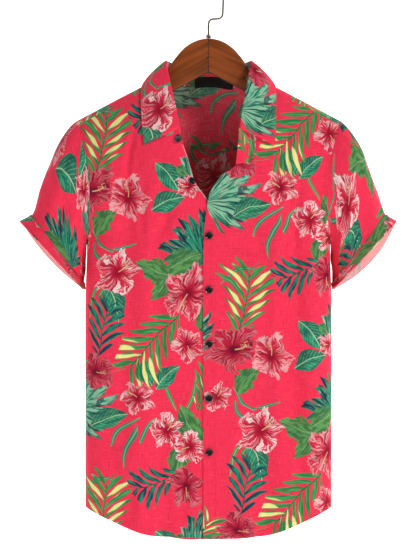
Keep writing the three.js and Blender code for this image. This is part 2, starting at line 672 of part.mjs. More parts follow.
// Board outline of one hanger half. Beyond the collar its top follows the shoulder ridge.
const BOARD_TOP = [
  { x: 0, z: -94.6 },
  { x: 12, z: -96.2 },
  { x: 26, z: -101.5 },
  { x: 39, z: -110.5 },
  { x: 50, z: -122.5 },
  { x: 58, z: -133.5 },
  { x: 64, z: -144.5 },
  { x: 66.3, z: -152 },
  { x: 69, z: -158.5 },
  { x: 75, z: -161 },
];
const BOARD_UNDERSIDE = [
  { x: 0, z: -148 },
  { x: 19, z: -158.5 },
  { x: 42, z: -170.5 },
  { x: 62, z: -182.5 },
  { x: 100, z: -203 },
  { x: 150, z: -228 },
  { x: 188, z: -245 },
];
const BOARD_ARM_X = [90, 110, 135, 165, 190];
const BOARD_TIP = { x: 198, drop: 1 };
const BOARD_NOSE_DROP = 6;
const BOARD_HEEL = { inset: 2, drop: 16 };

function boardHalf(sign) {
  const { thickness, bevel, endX, underCloth } = BOARD;
  const arm = BOARD_ARM_X.map((x) => ({ x, z: ridgeZ(x) - underCloth }));
  const tip = { x: BOARD_TIP.x, z: ridgeZ(BOARD_TIP.x) - underCloth - BOARD_TIP.drop };
  const nose = { x: endX, z: tip.z - BOARD_NOSE_DROP };
  const heel = { x: endX - BOARD_HEEL.inset, z: tip.z - BOARD_HEEL.drop };
  const outline = [...BOARD_TOP, ...arm, tip, nose, heel, ...[...BOARD_UNDERSIDE].reverse()];
  const jointX = (x) => Math.max(x, SEAM_GAP / 2);
  const shape = new THREE.Shape(outline.map(({ x, z }) => new THREE.Vector2(sign * jointX(x), z)));
  const geometry = new THREE.ExtrudeGeometry(shape, {
    depth: thickness - 2 * bevel,
    bevelThickness: bevel,
    bevelSize: bevel,
    bevelOffset: -bevel,
    bevelSegments: 2,
    steps: 1,
  });
  geometry.translate(0, 0, -(thickness - 2 * bevel) / 2);
  geometry.rotateX(Math.PI / 2);
  return geometry;
}

// Hook wire: up from the ferrule, a crank to the side, then round over the rail.
const HOOK_STEM = [
  { x: 0, z: -94 },
  { x: 0, z: -84 },
  { x: 0, z: -74 },
  { x: 1.2, z: -67.5 },
  { x: 5, z: -64.4 },
  { x: 12, z: -63.8 },
  { x: 18.5, z: -62.6 },
  { x: 22, z: -58.5 },
  { x: 22.8, z: -50 },
  { x: 23.3, z: -36 },
];
const HOOK_ARC = { steps: 15, end: Math.PI * 1.12 };
const WIRE_STEPS = { along: 44, quarter: 5 };

function hookGeometry() {
  const centreZ = WIRE_RADIUS - HOOK_RADIUS;
  const arc = evenly(HOOK_ARC.steps).map((t) => ({
    x: HOOK_RADIUS * Math.cos(t * HOOK_ARC.end),
    z: centreZ + HOOK_RADIUS * Math.sin(t * HOOK_ARC.end),
  }));
  const points = [...HOOK_STEM, ...arc].map(({ x, z }) => new THREE.Vector3(x, 0, z));
  const path = new THREE.CatmullRomCurve3(points, false, "centripetal");
  const section = new THREE.Shape().absarc(0, 0, WIRE_RADIUS, 0, 2 * Math.PI);
  const { along, quarter } = WIRE_STEPS;
  return new THREE.ExtrudeGeometry(section, { steps: along, curveSegments: quarter, extrudePath: path });
}

function ferruleGeometry() {
  const { radius, height, bore, topRadius, shoulder, sides } = FERRULE;
  const profile = [
    new THREE.Vector2(bore, 0),
    new THREE.Vector2(radius, 0),
    new THREE.Vector2(radius, shoulder),
    new THREE.Vector2(topRadius, height),
    new THREE.Vector2(bore, height),
    new THREE.Vector2(bore, 0),
  ];
  const geometry = new THREE.LatheGeometry(profile, sides);
  geometry.rotateX(Math.PI / 2);
  geometry.translate(0, 0, BOARD_TOP[0].z + SEAM_GAP);
  return geometry;
}

// A button: a disc with a raised rim, its flat back towards the cloth.
function buttonGeometry() {
  const { radius, thickness, rim, sides } = BUTTON;
  const profile = [
    new THREE.Vector2(0, 0),
    new THREE.Vector2(radius - rim, 0),
    new THREE.Vector2(radius, rim),
    new THREE.Vector2(radius, thickness - rim),
    new THREE.Vector2(radius - rim, thickness),
    new THREE.Vector2(0, thickness - rim),
  ];
  return new THREE.LatheGeometry(profile, sides);
}

// A point inside the chest, away from which the yoke's outer face lies.
const CHEST = new THREE.Vector3(0, 0, -330);

const COLOURS = {
  cloth: 0xf5405f,
  black: 0x101010,
  wood: 0x8a4a1c,
  metal: 0xb8b4a8,
};

function mesh(name, geometry, color, roughness = 0.9, metalness = 0) {
  const made = new THREE.Mesh(geometry, new THREE.MeshStandardMaterial({ color, roughness, metalness }));
  made.name = name;
  return made;
}

// Stands a button on cloth, square to its normal.
function placedButton(name, point, outward) {
  if (outward.y > 0) outward.negate();
  const button = mesh(name, buttonGeometry(), COLOURS.black, 0.25);
  button.quaternion.setFromUnitVectors(new THREE.Vector3(0, 1, 0), outward);
  button.position.copy(point).addScaledVector(outward, BUTTON.standOff);
  return button;
}

function buttonOnFront(name, side, x, z) {
  const near = NORMAL_REACH;
  const at = (dx, dz) => frontPoint(side, x + dx, z + dz);
  const across = at(near, 0).sub(at(-near, 0));
  const up = at(0, near).sub(at(0, -near));
  return placedButton(name, at(0, 0), across.cross(up).normalize());
}

function buttonOnCollar(name, { at, up }) {
  const { seam, roll } = collarStation(at);
  const next = collarStation(at + 0.01).seam;
  const outward = next.sub(seam).cross(roll.clone().sub(seam)).normalize();
  return placedButton(name, seam.clone().lerp(roll, up), outward);
}

const shirt = new THREE.Group();
shirt.add(
  mesh("front_left", clothWall(frontGrid("left"), frontThickness("left")), COLOURS.cloth),
  mesh("front_right", clothWall(frontGrid("right"), frontThickness("right")), COLOURS.cloth),
  mesh("back", clothWall(backGrid(), (point) => hemAllowance("back", point)), COLOURS.cloth),
  mesh("yoke", clothWall(yokeGrid(), CLOTH, { middle: CHEST }), COLOURS.cloth),
  mesh("collar_stand", clothWall(standGrid(), COLLAR_BAND), COLOURS.cloth),
  mesh("collar_leaf", clothWall(leafGrid(), CLOTH), COLOURS.cloth),
  mesh("label", clothWall(labelGrid(), LABEL.thickness), COLOURS.black),
);
for (const side of ["left", "right"]) {
  shirt.add(
    mesh(`sleeve_${side}`, sleeveGeometry(side), COLOURS.cloth),
    mesh(`cuff_${side}`, cuffGeometry(side), COLOURS.cloth),
  );
}
for (let i = 0; i < CLOSED_BUTTONS.count; i += 1) {
  const { x, topZ, pitch } = CLOSED_BUTTONS;
  shirt.add(buttonOnFront(`button_${i + 1}`, "left", x, topZ - i * pitch));
}
shirt.add(buttonOnFront("button_6", "right", OPEN_BUTTON.x, OPEN_BUTTON.z));
shirt.add(buttonOnCollar("button_7", COLLAR_BUTTON));

const hanger = new THREE.Group();
hanger.add(
  mesh("hanger_left", boardHalf(1), COLOURS.wood, 0.5),
  mesh("hanger_right", boardHalf(-1), COLOURS.wood, 0.5),
  mesh("hanger_ferrule", ferruleGeometry(), COLOURS.metal, 0.3, 1),
  mesh("hanger_hook", hookGeometry(), COLOURS.metal, 0.3, 1),
);

const part = new THREE.Group();
part.add(shirt, hanger);
export default part;
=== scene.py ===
"""A hawaiian shirt on a wooden hanger: cloth, print, stitches, buttons, wood, metal, light and camera.

Forms are in millimetres and meshes in metres. +Z is up, the front faces -Y, and +X is the wearer's left.
"""

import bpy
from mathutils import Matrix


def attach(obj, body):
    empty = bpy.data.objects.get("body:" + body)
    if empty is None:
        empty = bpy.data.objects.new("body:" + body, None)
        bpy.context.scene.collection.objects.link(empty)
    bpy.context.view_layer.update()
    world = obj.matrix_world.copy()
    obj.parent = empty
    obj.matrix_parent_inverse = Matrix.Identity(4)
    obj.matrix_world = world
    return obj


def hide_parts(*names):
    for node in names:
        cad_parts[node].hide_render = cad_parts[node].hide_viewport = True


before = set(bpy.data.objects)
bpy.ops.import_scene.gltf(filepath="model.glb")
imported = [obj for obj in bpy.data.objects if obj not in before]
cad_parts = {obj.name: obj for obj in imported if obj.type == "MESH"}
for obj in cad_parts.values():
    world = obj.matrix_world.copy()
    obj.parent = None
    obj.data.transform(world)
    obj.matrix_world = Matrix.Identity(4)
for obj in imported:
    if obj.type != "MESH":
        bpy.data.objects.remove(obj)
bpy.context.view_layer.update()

import logging
import math
from collections.abc import Iterable
from dataclasses import dataclass
from enum import Enum
from typing import Union

import bpy
import numpy as np
from mathutils import Vector

log = logging.getLogger("shirt")

Array = np.ndarray
Number = float | Array
Place = tuple[float, float, float] | Array
Socket = bpy.types.NodeSocket
Input = Union["Value", Socket, float, tuple]

MILLIMETRE = 0.001
PRINT_UNIT = 1.577
PRINT_MIDDLE = 208.5
PRINT_TOP = 23.0
CLOTH = 1.2
STITCH_LIFT = 0.1
FRONT = -1
BACK = 1
# Points inside the garment: the cloth's outer side is the one away from them.
NECK = (0.0, 0.0, -200.0)
CHEST = (0.0, 0.0, -330.0)
WAIST = (0.0, 0.0, -600.0)
BELOW = (0.0, 0.0, -900.0)


class Side(Enum):
    """The wearer's side, as the sign of x."""

    LEFT = 1
    RIGHT = -1


def lerp(start: Number, end: Number, share: Number) -> Number:
    """Gives the value at a share of the way from start to end."""
    return start + (end - start) * share


def smooth(start: float, end: float, value: Number) -> Number:
    """Gives 0 before start and 1 after end, eased in between."""
    share = np.clip((value - start) / (end - start), 0.0, 1.0)
    return share * share * (3.0 - 2.0 * share)


def read_table(rows: tuple, column: int, place: Number) -> Number:
    """Reads a table with a curve that never overshoots its values.

    Args:
        rows: Tuples whose first value is the key.
        column: Which value of the rows to read.
        place: Where to read, in the key's unit.

    Returns:
        The value or values there.
    """
    table = np.array(sorted(rows))
    keys, values = table[:, 0], table[:, column]
    slopes = np.diff(values) / np.diff(keys)
    product = slopes[:-1] * slopes[1:]
    total = np.where(product > 0, slopes[:-1] + slopes[1:], 1.0)
    inner = np.where(product > 0, 2 * product / total, 0.0)
    tangents = np.concatenate(([slopes[0]], inner, [slopes[-1]]))
    held = np.clip(place, keys[0], keys[-1])
    i = np.clip(np.searchsorted(keys, held, side="right") - 1, 0, len(keys) - 2)
    span = keys[i + 1] - keys[i]
    t = (held - keys[i]) / span
    bend = tangents[i] * t * (1 - t) ** 2 - tangents[i + 1] * t * t * (1 - t)
    return lerp(values[i], values[i + 1], t * t * (3 - 2 * t)) + span * bend


def unit(vectors: Array) -> Array:
    """Gives the vectors at length 1."""
    return vectors / np.maximum(np.linalg.norm(vectors, axis=-1, keepdims=True), 1e-9)


def point(x: Number, y: Number, z: Number) -> Array:
    """Joins three coordinates into points."""
    return np.stack(np.broadcast_arrays(x, y, z), axis=-1).astype(float)


@dataclass(frozen=True)
class Fold:
    """A long soft trough down one face, with a low bank on both sides."""

    face: int
    x: float
    drift: float
    width: float
    depth: float
    top_z: float
    bottom_z: float

    def inset(self, x: Number, z: Number) -> Number:
        """Gives how far the trough takes the cloth in at places x, z.

        Args:
            x: Place across.
            z: Height.

        Returns:
            The depth.
        """
        along = (self.top_z - z) / (self.top_z - self.bottom_z)
        fade = smooth(0, 0.35, along) * (1 - 0.8 * smooth(0.75, 1.15, along))
        off = (x - self.x - self.drift * along) / self.width
        banks = np.exp(-((off - 1.9) ** 2)) + np.exp(-((off + 1.9) ** 2))
        return self.depth * fade * (np.exp(-off * off) - 0.35 * banks)


@dataclass(frozen=True)
class Crease:
    """A narrow crease between two places (x, z) of one face."""

    face: int
    start: tuple[float, float]
    end: tuple[float, float]
    width: float
    depth: float

    def inset(self, x: Number, z: Number) -> Number:
        """Gives how far the crease takes the cloth in at places x, z.

        Args:
            x: Place across.
            z: Height.

        Returns:
            The depth.
        """
        way_x, way_z = self.end[0] - self.start[0], self.end[1] - self.start[1]
        length = math.hypot(way_x, way_z)
        dx, dz = x - self.start[0], z - self.start[1]
        along = (dx * way_x + dz * way_z) / length**2
        bow = 0.04 * length * np.sin(np.clip(along, 0, 1) * math.pi)
        off = ((dx * way_z - dz * way_x) / length - bow) / self.width
        ends = smooth(0, 0.3, along) * (1 - smooth(0.6, 1, along))
        banks = np.exp(-((off - 1.7) ** 2)) + np.exp(-((off + 1.7) ** 2))
        return self.depth * ends * (np.exp(-off * off) - 0.3 * banks)


FOLDS = tuple(
    Fold(*row)
    for row in (
        (FRONT, 135, 3, 14, 9, -300, -770), (FRONT, 176, 4, 10, 4, -285, -470),
        (FRONT, -124, -4, 15, 4.5, -215, -560), (FRONT, -84, 6, 12, 3, -360, -620),
        (FRONT, -163, 22, 16, 6, -600, -900), (FRONT, 84, 12, 20, 5, -690, -930),
        (FRONT, -60, -8, 22, 3.5, -560, -900), (BACK, 88, 10, 24, 17, -300, -960),
        (BACK, -96, -8, 25, 16, -310, -960), (BACK, -6, 10, 26, 9, -420, -960),
        (BACK, 158, -4, 14, 8, -400, -820), (BACK, -160, 6, 14, 7, -430, -860),
    )
)

CREASES = tuple(
    Crease(*row)
    for row in (
        (FRONT, (133, -300), (139, -760), 8, 5.0), (FRONT, (-128, -560), (-122, -800), 9, 3.0),
        (FRONT, (70, -200), (84, -330), 7, 2.0), (FRONT, (-70, -300), (-60, -430), 8, 2.4),
        (FRONT, (128, -215), (141, -420), 5, 3.9), (FRONT, (146, -300), (150, -560), 5, 3.6),
        (FRONT, (118, -250), (112, -430), 7, 2.7), (FRONT, (188, -330), (150, -470), 6, 3.6),
        (FRONT, (190, -380), (160, -540), 6, 3.3), (FRONT, (-188, -330), (-158, -450), 6, 3.3),
        (FRONT, (-192, -372), (-150, -520), 7, 3.6), (FRONT, (-112, -220), (-132, -400), 5, 3.0),
        (FRONT, (-100, -300), (-96, -470), 6, 2.7), (FRONT, (-150, -240), (-168, -350), 5, 2.4),
        (FRONT, (-40, -350), (-86, -420), 7, 2.4), (FRONT, (60, -330), (98, -470), 8, 3.0),
        (FRONT, (30, -415), (92, -440), 6, 1.8), (FRONT, (34, -590), (100, -560), 7, 2.0),
        (FRONT, (-20, -500), (-80, -486), 6, 1.8), (FRONT, (-24, -668), (-98, -640), 8, 2.1),
        (FRONT, (-170, -640), (-110, -690), 9, 3.0), (FRONT, (-182, -720), (-120, -742), 7, 2.4),
        (FRONT, (180, -560), (120, -640), 9, 3.3), (FRONT, (186, -700), (132, -760), 8, 2.7),
        (FRONT, (52, -700), (60, -880), 8, 3.3), (FRONT, (150, -740), (146, -880), 9, 4.5),
        (FRONT, (-112, -760), (-120, -890), 9, 4.5), (FRONT, (-30, -740), (-38, -885), 8, 2.7),
        (BACK, (-60, -330), (-20, -560), 9, 3.0), (BACK, (52, -320), (30, -600), 9, 3.0),
        (BACK, (130, -330), (120, -560), 8, 3.2), (BACK, (-132, -350), (-124, -600), 8, 3.0),
        (BACK, (186, -380), (140, -500), 7, 2.6), (BACK, (-186, -380), (-138, -520), 7, 2.6),
        (BACK, (40, -640), (60, -860), 10, 3.4), (BACK, (-50, -660), (-64, -870), 10, 3.2),
    )
)


@dataclass(frozen=True)
class BodyForm:
    """The flattened tube of the body, which fronts, back, yoke and collar share."""

    half_width_mm: float = 195.0
    front_depth: float = 62.0
    back_depth: float = 68.0
    squareness: float = 4.4
    column_evenness: float = 0.5
    underarm_z: float = -418.0
    tuck: float = 2.5
    tuck_end_z: float = -520.0
    spread: float = 50.0
    spread_top_z: float = -308.0
    slope: float = 0.545
    reference_x: float = 105.0
    reference_z: float = -171.0
    ridge_blend: float = 40.0
    ridge_radius: float = 9.0
    armhole_round_z: float = -392.0
    side_turn: float = math.pi / 2 - 0.004
    drift_z: tuple[float, float] = (-345.0, -640.0)
    drift_power: int = 4
    drift_rounds: int = 6
    front_swing: float = 110.0
    back_swing: float = 60.0
    tip_swing: float = 220.0
    swing_x: tuple[float, float] = (30.0, 230.0)
    front_hem: tuple[float, float] = (-885.0, 50.0)
    back_hem: tuple[float, float] = (-893.0, 57.0)
    hem_power: float = 2.6
    armhole: tuple = (
        (-392, 188.8), (-372, 188.2), (-345, 187.5), (-306, 189), (-270, 196.5), (-245, 203.5),
        (-222, 208),
    )

    def ridge_z(self, x: Number) -> Number:
        """Gives the height of the shoulder ridge at x."""
        reach = np.hypot(x, self.ridge_blend) - math.hypot(self.reference_x, self.ridge_blend)
        return self.reference_z - self.slope * reach

    def half_width(self, z: Number) -> Number:
        """Gives half the tube's width at a height.

        Args:
            z: Height.

        Returns:
            Half the width.
        """
        tuck = self.tuck * smooth(self.tuck_end_z, self.underarm_z, z)
        spread = (self.spread + self.tuck) * smooth(self.underarm_z, self.spread_top_z, z)
        return self.half_width_mm - tuck + spread

    def crumple(self, x: Number, z: Number) -> Number:
        """Gives the cloth's own small unevenness, largest low down and away from the closure.

        Args:
            x: Place across.
            z: Height.

        Returns:
            The depth.
        """
        warp = 9 * np.sin(x / 31 + z / 67) + 7 * np.sin(z / 43 - x / 59)
        waves = np.sin((x + warp) / 11.5 + 1.3) * np.sin((z - warp) / 37 + 0.4)
        waves = waves + 0.7 * np.sin((x - 0.4 * z + warp) / 17)
        waves = waves + 0.5 * np.sin((x + 0.7 * z - warp) / 13.5 + 2.1)
        below = smooth(-240, -330, z)
        beside = smooth(14, 45, np.abs(x))
        return 0.42 * waves * below * beside

    def inset(self, side: Number, x: Number, z: Number) -> Number:
        """Adds up folds, creases and crumples at places of a face.

        Args:
            side: FRONT or BACK, one value or an array.
            x: Place across.
            z: Height.

        Returns:
            How far the cloth lies inside the plain tube.
        """
        total = self.crumple(x, z) * np.ones_like(np.asarray(x, float))
        for wave in (*FOLDS, *CREASES):
            total = total + wave.inset(x, z) * (np.asarray(side) == wave.face)
        return total

    def at(self, side: Number, x: Number, z: Number) -> Array:
        """Gives points of the outer face from the side, x and height.

        Args:
            side: FRONT or BACK, one value or an array.
            x: Place across.
            z: Height.

        Returns:
            The points.
        """
        full = np.where(np.asarray(side) == FRONT, self.front_depth, self.back_depth)
        below = np.maximum(0.0, self.ridge_z(x) - z)
        middle_swing = np.where(np.asarray(side) == FRONT, self.front_swing, self.back_swing)
        swing = lerp(middle_swing, self.tip_swing, smooth(*self.swing_x, np.abs(x)))
        roundness = full**2 / (2 * self.ridge_radius)
        depth = full * (1 - np.exp(-np.sqrt(below / roundness) - below / swing))
        across = np.minimum(1.0, np.abs(x) / self.half_width(z))
        taper = np.maximum(0.0, 1 - across**self.squareness) ** (1 / self.squareness)
        return point(x, side * (depth * taper - self.inset(side, x, z) * taper**2), z)

    def x_from_turn(self, turn: Number, z: Number) -> Number:
        """Gives x from an angle round the tube.

        Args:
            turn: Angle round the tube.
            z: Height.

        Returns:
            x.
        """
        lean = self.column_evenness * np.tan(np.minimum(np.abs(turn), math.pi / 2 - 1e-4))
        reach = lean / (1 + lean**self.squareness) ** (1 / self.squareness)
        return np.sign(turn) * reach * self.half_width(z)

    def turn_from_x(self, x: Number, z: Number) -> Number:
        """Gives the angle round the tube from x.

        Args:
            x: Place across.
            z: Height.

        Returns:
            The angle.
        """
        reach = np.minimum(0.999999, np.abs(x) / self.half_width(z))
        lean = reach / (1 - reach**self.squareness) ** (1 / self.squareness)
        return np.sign(x) * np.arctan(lean / self.column_evenness)

    def over_ridge(self, x: Number, over: Number) -> Array:
        """Gives points beside the shoulder ridge, with the front at negative ways over it.

        Args:
            x: Place across.
            over: The way over the ridge, below 0 on the front.

        Returns:
            The points.
        """
        below = np.hypot(over, self.ridge_radius) - self.ridge_radius
        side = np.where(np.asarray(over) < 0, FRONT, BACK)
        return self.at(side, x, self.ridge_z(x) - below)

    def over_from_z(self, x: Number, z: Number) -> Number:
        """Gives the way over the ridge at which the cloth is at a height."""
        below = np.maximum(0.0, self.ridge_z(x) - z)
        return np.sqrt((below + self.ridge_radius) ** 2 - self.ridge_radius**2)

    def hem_z(self, face: int, x: Number) -> Number:
        """Gives the height of the hem's edge at x.

        Args:
            face: FRONT or BACK.
            x: Place across.

        Returns:
            The height.
        """
        middle, rise = self.front_hem if face == FRONT else self.back_hem
        wave = 1.3 * np.sin(x / 17.0 + face) + 1.1 * np.sin(x / 41.0 - 2 * face)
        return middle + rise * np.minimum(1.0, np.abs(x) / self.half_width_mm) ** self.hem_power + wave

    def armhole_x(self, z: Number) -> Number:
        """Gives x of the armhole seam at a height."""
        return read_table(self.armhole, 1, z)

    def armhole_turn(self, z: Number) -> Number:
        """Gives the armhole as an angle round the tube, which reaches the side under the arm.

        Args:
            z: Height.

        Returns:
            The angle.
        """
        held = np.maximum(z, self.armhole_round_z)
        straight = self.turn_from_x(self.armhole_x(held), held)
        depth = self.armhole_round_z - self.underarm_z
        down = np.clip((self.armhole_round_z - z) / depth, 0, 1)
        return lerp(straight, math.pi / 2, 1 - np.sqrt(1 - down * down))

    def edge_turn(self, z: Number) -> Number:
        """Gives the angle at which a panel ends: the armhole, or below it the side seam.

        Args:
            z: Height.

        Returns:
            The angle.
        """
        held = np.maximum(z, self.underarm_z)
        inside = np.minimum(self.armhole_turn(held), self.side_turn)
        return np.where(z > self.underarm_z, inside, self.side_turn)

    def column_turn(self, share: Number, z: Number) -> Number:
        """Gives the angle by which a column is placed, calmer under the arm for inner columns.

        Args:
            share: Share of the angle to the panel's edge.
            z: Height.

        Returns:
            The angle.
        """
        calm = self.edge_turn(np.maximum(z, self.drift_z[0]))
        drifted = lerp(calm, self.side_turn, smooth(*self.drift_z, z))
        return lerp(drifted, self.edge_turn(z), np.abs(share) ** self.drift_power)

    def x_from_share(self, share: Number, z: Number) -> Number:
        """Gives x at a share of the angle from the middle to a panel's edge."""
        return self.x_from_turn(share * self.column_turn(share, z), z)

    def share_from_x(self, x: Number, z: Number) -> Number:
        """Gives the share of that angle from x, by a few rounds.

        Args:
            x: Place across.
            z: Height.

        Returns:
            The share.
        """
        turn = self.turn_from_x(x, z)
        share = turn / self.edge_turn(z)
        for _ in range(self.drift_rounds):
            share = turn / self.column_turn(share, z)
        return share

    def flat_x(self, x: Number, z: Number) -> Number:
        """Gives the way along the cloth from the middle to x.

        Args:
            x: Place across.
            z: Height.

        Returns:
            The way, below 0 on the wearer's right.
        """
        across = np.linspace(0, 1, 400)
        depth = self.front_depth * (1 - across**self.squareness) ** (1 / self.squareness)
        steps = np.hypot(np.diff(across * self.half_width_mm), np.diff(depth))
        way = np.concatenate(([0], np.cumsum(steps))) / self.half_width_mm
        width = self.half_width(z)
        return np.sign(x) * np.interp(np.abs(x) / width, across, way) * width


@dataclass(frozen=True)
class FrontEdges:
    """The free edge of each front and how the right one tucks under the left one."""

    form: BodyForm
    left: tuple = (
        (-297, 43), (-303, 36), (-312, 22), (-322, 13.4), (-342, 1.5), (-375, -4), (-400, -6.8),
        (-440, -8.2), (-900, -8.2),
    )
    right: tuple = (
        (-262, -41), (-286, -32.5), (-304, -27.5), (-324, -21), (-345, -6), (-362, 4), (-385, 9),
        (-430, 12), (-900, 12),
    )
    top_left: float = -297.0
    top_right: float = -262.0
    underlap: float = 2.2
    underlap_x: tuple[float, float] = (-60.0, -18.0)
    curl_reach: float = 13.0
    curl_depth: float = 7.0
    curl_bottom: tuple[float, float] = (-375.0, -325.0)
    curl_top: tuple[float, float] = (2.0, -30.0)

    def x_at(self, side: Side, z: Number) -> Number:
        """Gives x of a front's free edge at a height."""
        return read_table(self.left if side is Side.LEFT else self.right, 1, z)

    def top_z(self, side: Side) -> float:
        """Gives the height at which the free edge starts."""
        return self.top_left if side is Side.LEFT else self.top_right

    def inset(self, side: Side, x: Number, z: Number) -> Number:
        """Gives how far a front lies inside the body's outer face.

        Args:
            side: Which front.
            x: Place across.
            z: Height.

        Returns:
            The depth.
        """
        if side is Side.LEFT:
            return 0.0 * x
        under = self.underlap * smooth(*self.underlap_x, x)
        from_edge = self.x_at(Side.RIGHT, z) - x
        curl = np.clip(1 - from_edge / self.curl_reach, 0, 1) ** 2 * smooth(*self.curl_bottom, z)
        start, end = (self.top_right + way for way in self.curl_top)
        return under + self.curl_depth * curl * smooth(start, end, z)

    def at(self, side: Side, x: Number, z: Number) -> Array:
        """Gives points of a front's outer face.

        Args:
            side: Which front.
            x: Place across.
            z: Height.

        Returns:
            The points.
        """
        made = self.form.at(FRONT, x, z)
        made[..., 1] += self.inset(side, x, z)
        return made


@dataclass(frozen=True)
class CollarForm:
    """The collar's seam, its roll line and the leaf's outer edge, from the back (0) to an end (1)."""

    form: BodyForm
    table: tuple = (
        (0, 0, 42, 0, 43, -141, 0, 60), (0.12, 28, 40, 28, 39.5, -140, 38, 58),
        (0.25, 53, 28, 53, 26, -136.5, 74, 45), (0.36, 68, 12, 65.5, 8, -132.5, 97, 22),
        (0.44, 73, 0, 68, -6, -132, 105, 3), (0.52, 75, -15, 67.5, -18, -138, 107, -16),
        (0.64, 76, -42, 64, -31, -156, 107.5, -38), (0.78, 76, -80, 58.5, -43, -188, 107, -61),
        (0.9, 73.5, -124, 53, -51, -217, 106, -84), (0.96, 65, -148, 50.5, -54, -231, 105, -96),
        (1, 43, -163, 49, -56, -241, 104, -105),
    )
    right_from: float = 0.55
    right_seam_x: float = 2.4
    right_seam_over: float = 33.5
    right_roll: float = 2.6
    right_out: float = 2.5
    lift: float = 3.0

    def lines(self, at: Array) -> tuple[Array, Array, Array]:
        """Gives points of the three lines.

        Args:
            at: Places along the collar, below 0 on the wearer's right.

        Returns:
            The seam, the roll line and the leaf's outer edge.
        """
        half, sign = np.abs(at), np.where(at < 0, -1, 1)
        columns = [read_table(self.table, column, half) for column in range(1, 8)]
        seam_x, seam_over, roll_x, roll_y, roll_z, out_x, out_over = columns
        shift = np.where(sign < 0, smooth(self.right_from, 1, half), 0)
        seam_over = seam_over + self.right_seam_over * shift
        seam = self.form.over_ridge(sign * (seam_x - self.right_seam_x * shift), seam_over)
        roll = point(sign * (roll_x - self.right_roll * shift), roll_y, roll_z)
        out_x = sign * (out_x - self.right_out * shift)
        rest = self.form.over_ridge(out_x, out_over)
        away = unit(np.cross(self.form.over_ridge(out_x, out_over + 1) - rest, (1.0, 0.0, 0.0)))
        away = away * np.where(away[..., 2:] < 0, -1, 1)
        return seam, roll, rest + self.lift * away


class Sheet:
    """A grid of points on the cloth's outer face, with its print coordinates and stitch distances."""

    def __init__(self, points: Array, flat: Array, seam: Array, closed: bool = False) -> None:
        """Keeps the grid.

        Args:
            points: Rows and columns of points, in millimetres.
            flat: The same places on the flat cloth, in print units.
            seam: The distance of each to the nearest stitch line, in millimetres.
            closed: Whether the last column joins the first.
        """
        self.points = points
        self.flat = flat
        self.seam = seam
        self.closed = closed

    def normals(self) -> Array:
        """Gives the grid's normals, from the neighbours of each point.

        Returns:
            The normals.
        """
        grid = self.points
        down = np.gradient(grid, axis=0)
        if self.closed:
            across = np.roll(grid[:, :-1], -1, axis=1) - np.roll(grid[:, :-1], 1, axis=1)
            across = np.concatenate((across, across[:, :1]), axis=1)
        else:
            across = np.gradient(grid, axis=1)
        return unit(np.cross(across, down))

    def moved(self, distance: Number, middle: Place) -> Array:
        """Gives the points moved away from a middle point, along the normals.

        Args:
            distance: How far, in millimetres.
            middle: A point inside the garment.

        Returns:
            The moved points.
        """
        normals = self.normals()
        rows, columns = self.points.shape[:2]
        i, j = rows // 2, columns // 3
        sign = np.sign(np.dot(normals[i, j], self.points[i, j] - np.asarray(middle, float)))
        return self.points + sign * normals * np.broadcast_to(distance, (rows, columns))[..., None]

    def beside(self, edge: str, distance: float, start: int = 0, end: int | None = None) -> Array:
        """Gives a line on the grid beside one of its edges.

        Args:
            edge: Which edge: top, bottom, first or last.
            distance: The way from the edge, in millimetres.
            start: The first row or column of the line.
            end: Where it stops, or None for the whole edge.

        Returns:
            The line's points.
        """
        grid = self.points if edge in ("top", "bottom") else self.points.swapaxes(0, 1)
        grid = grid[::-1] if edge in ("bottom", "last") else grid
        steps = np.linalg.norm(np.diff(grid, axis=0), axis=-1)
        way = np.concatenate((np.zeros_like(steps[:1]), np.cumsum(steps, axis=0)))
        line = []
        for column in range(grid.shape[1])[start:end]:
            line.append([np.interp(distance, way[:, column], grid[:, column, axis]) for axis in range(3)])
        return np.array(line)

    def with_allowance(self, middle: Place, width: float = 5.0, drop: float = 1.35) -> "Sheet":
        """Adds a seam allowance above the first row, inside the piece that is sewn on there.

        Args:
            middle: A point inside the garment.
            width: The allowance's width, in millimetres.
            drop: How far it lies inside.

        Returns:
            The longer sheet.
        """
        first, second = self.points[0], self.points[1]
        beyond = unit(first - second)
        normals = self.normals()[0]
        j = len(first) // 3
        sign = np.sign(np.dot(normals[j], first[j] - np.asarray(middle, float)))
        inside = first - sign * drop * normals
        rows = np.stack((inside + width * beyond, inside + 0.2 * beyond))
        spacing = np.linalg.norm(first - second, axis=-1, keepdims=True)
        slope = (self.flat[0] - self.flat[1]) / np.maximum(spacing, 0.3)
        flat = np.stack((self.flat[0] + width * slope, self.flat[0]))
        seam = np.stack((self.seam[0] + width, self.seam[0]))
        pairs = ((rows, self.points), (flat, self.flat), (seam, self.seam))
        return Sheet(*(np.concatenate(pair) for pair in pairs), self.closed)

    def raised(self, distance: float, middle: Place) -> "Sheet":
        """Gives the same sheet moved away from a middle point."""
        return Sheet(self.moved(distance, middle), self.flat, self.seam, self.closed)

    def area(self) -> float:
        """Gives the grid's area in square metres.

        Returns:
            The area.
        """
        grid = self.points
        across, down = grid[:-1, 1:] - grid[:-1, :-1], grid[1:, :-1] - grid[:-1, :-1]
        return float(np.linalg.norm(np.cross(across, down), axis=-1).sum()) * MILLIMETRE**2


def add_object(name: str, data: bpy.types.ID) -> bpy.types.Object:
    """Links a new object with this mesh, light or camera to the scene.

    Args:
        name: Its name.
        data: What it shows.

    Returns:
        The object.
    """
    made = bpy.data.objects.new(name, data)
    bpy.context.scene.collection.objects.link(made)
    return made


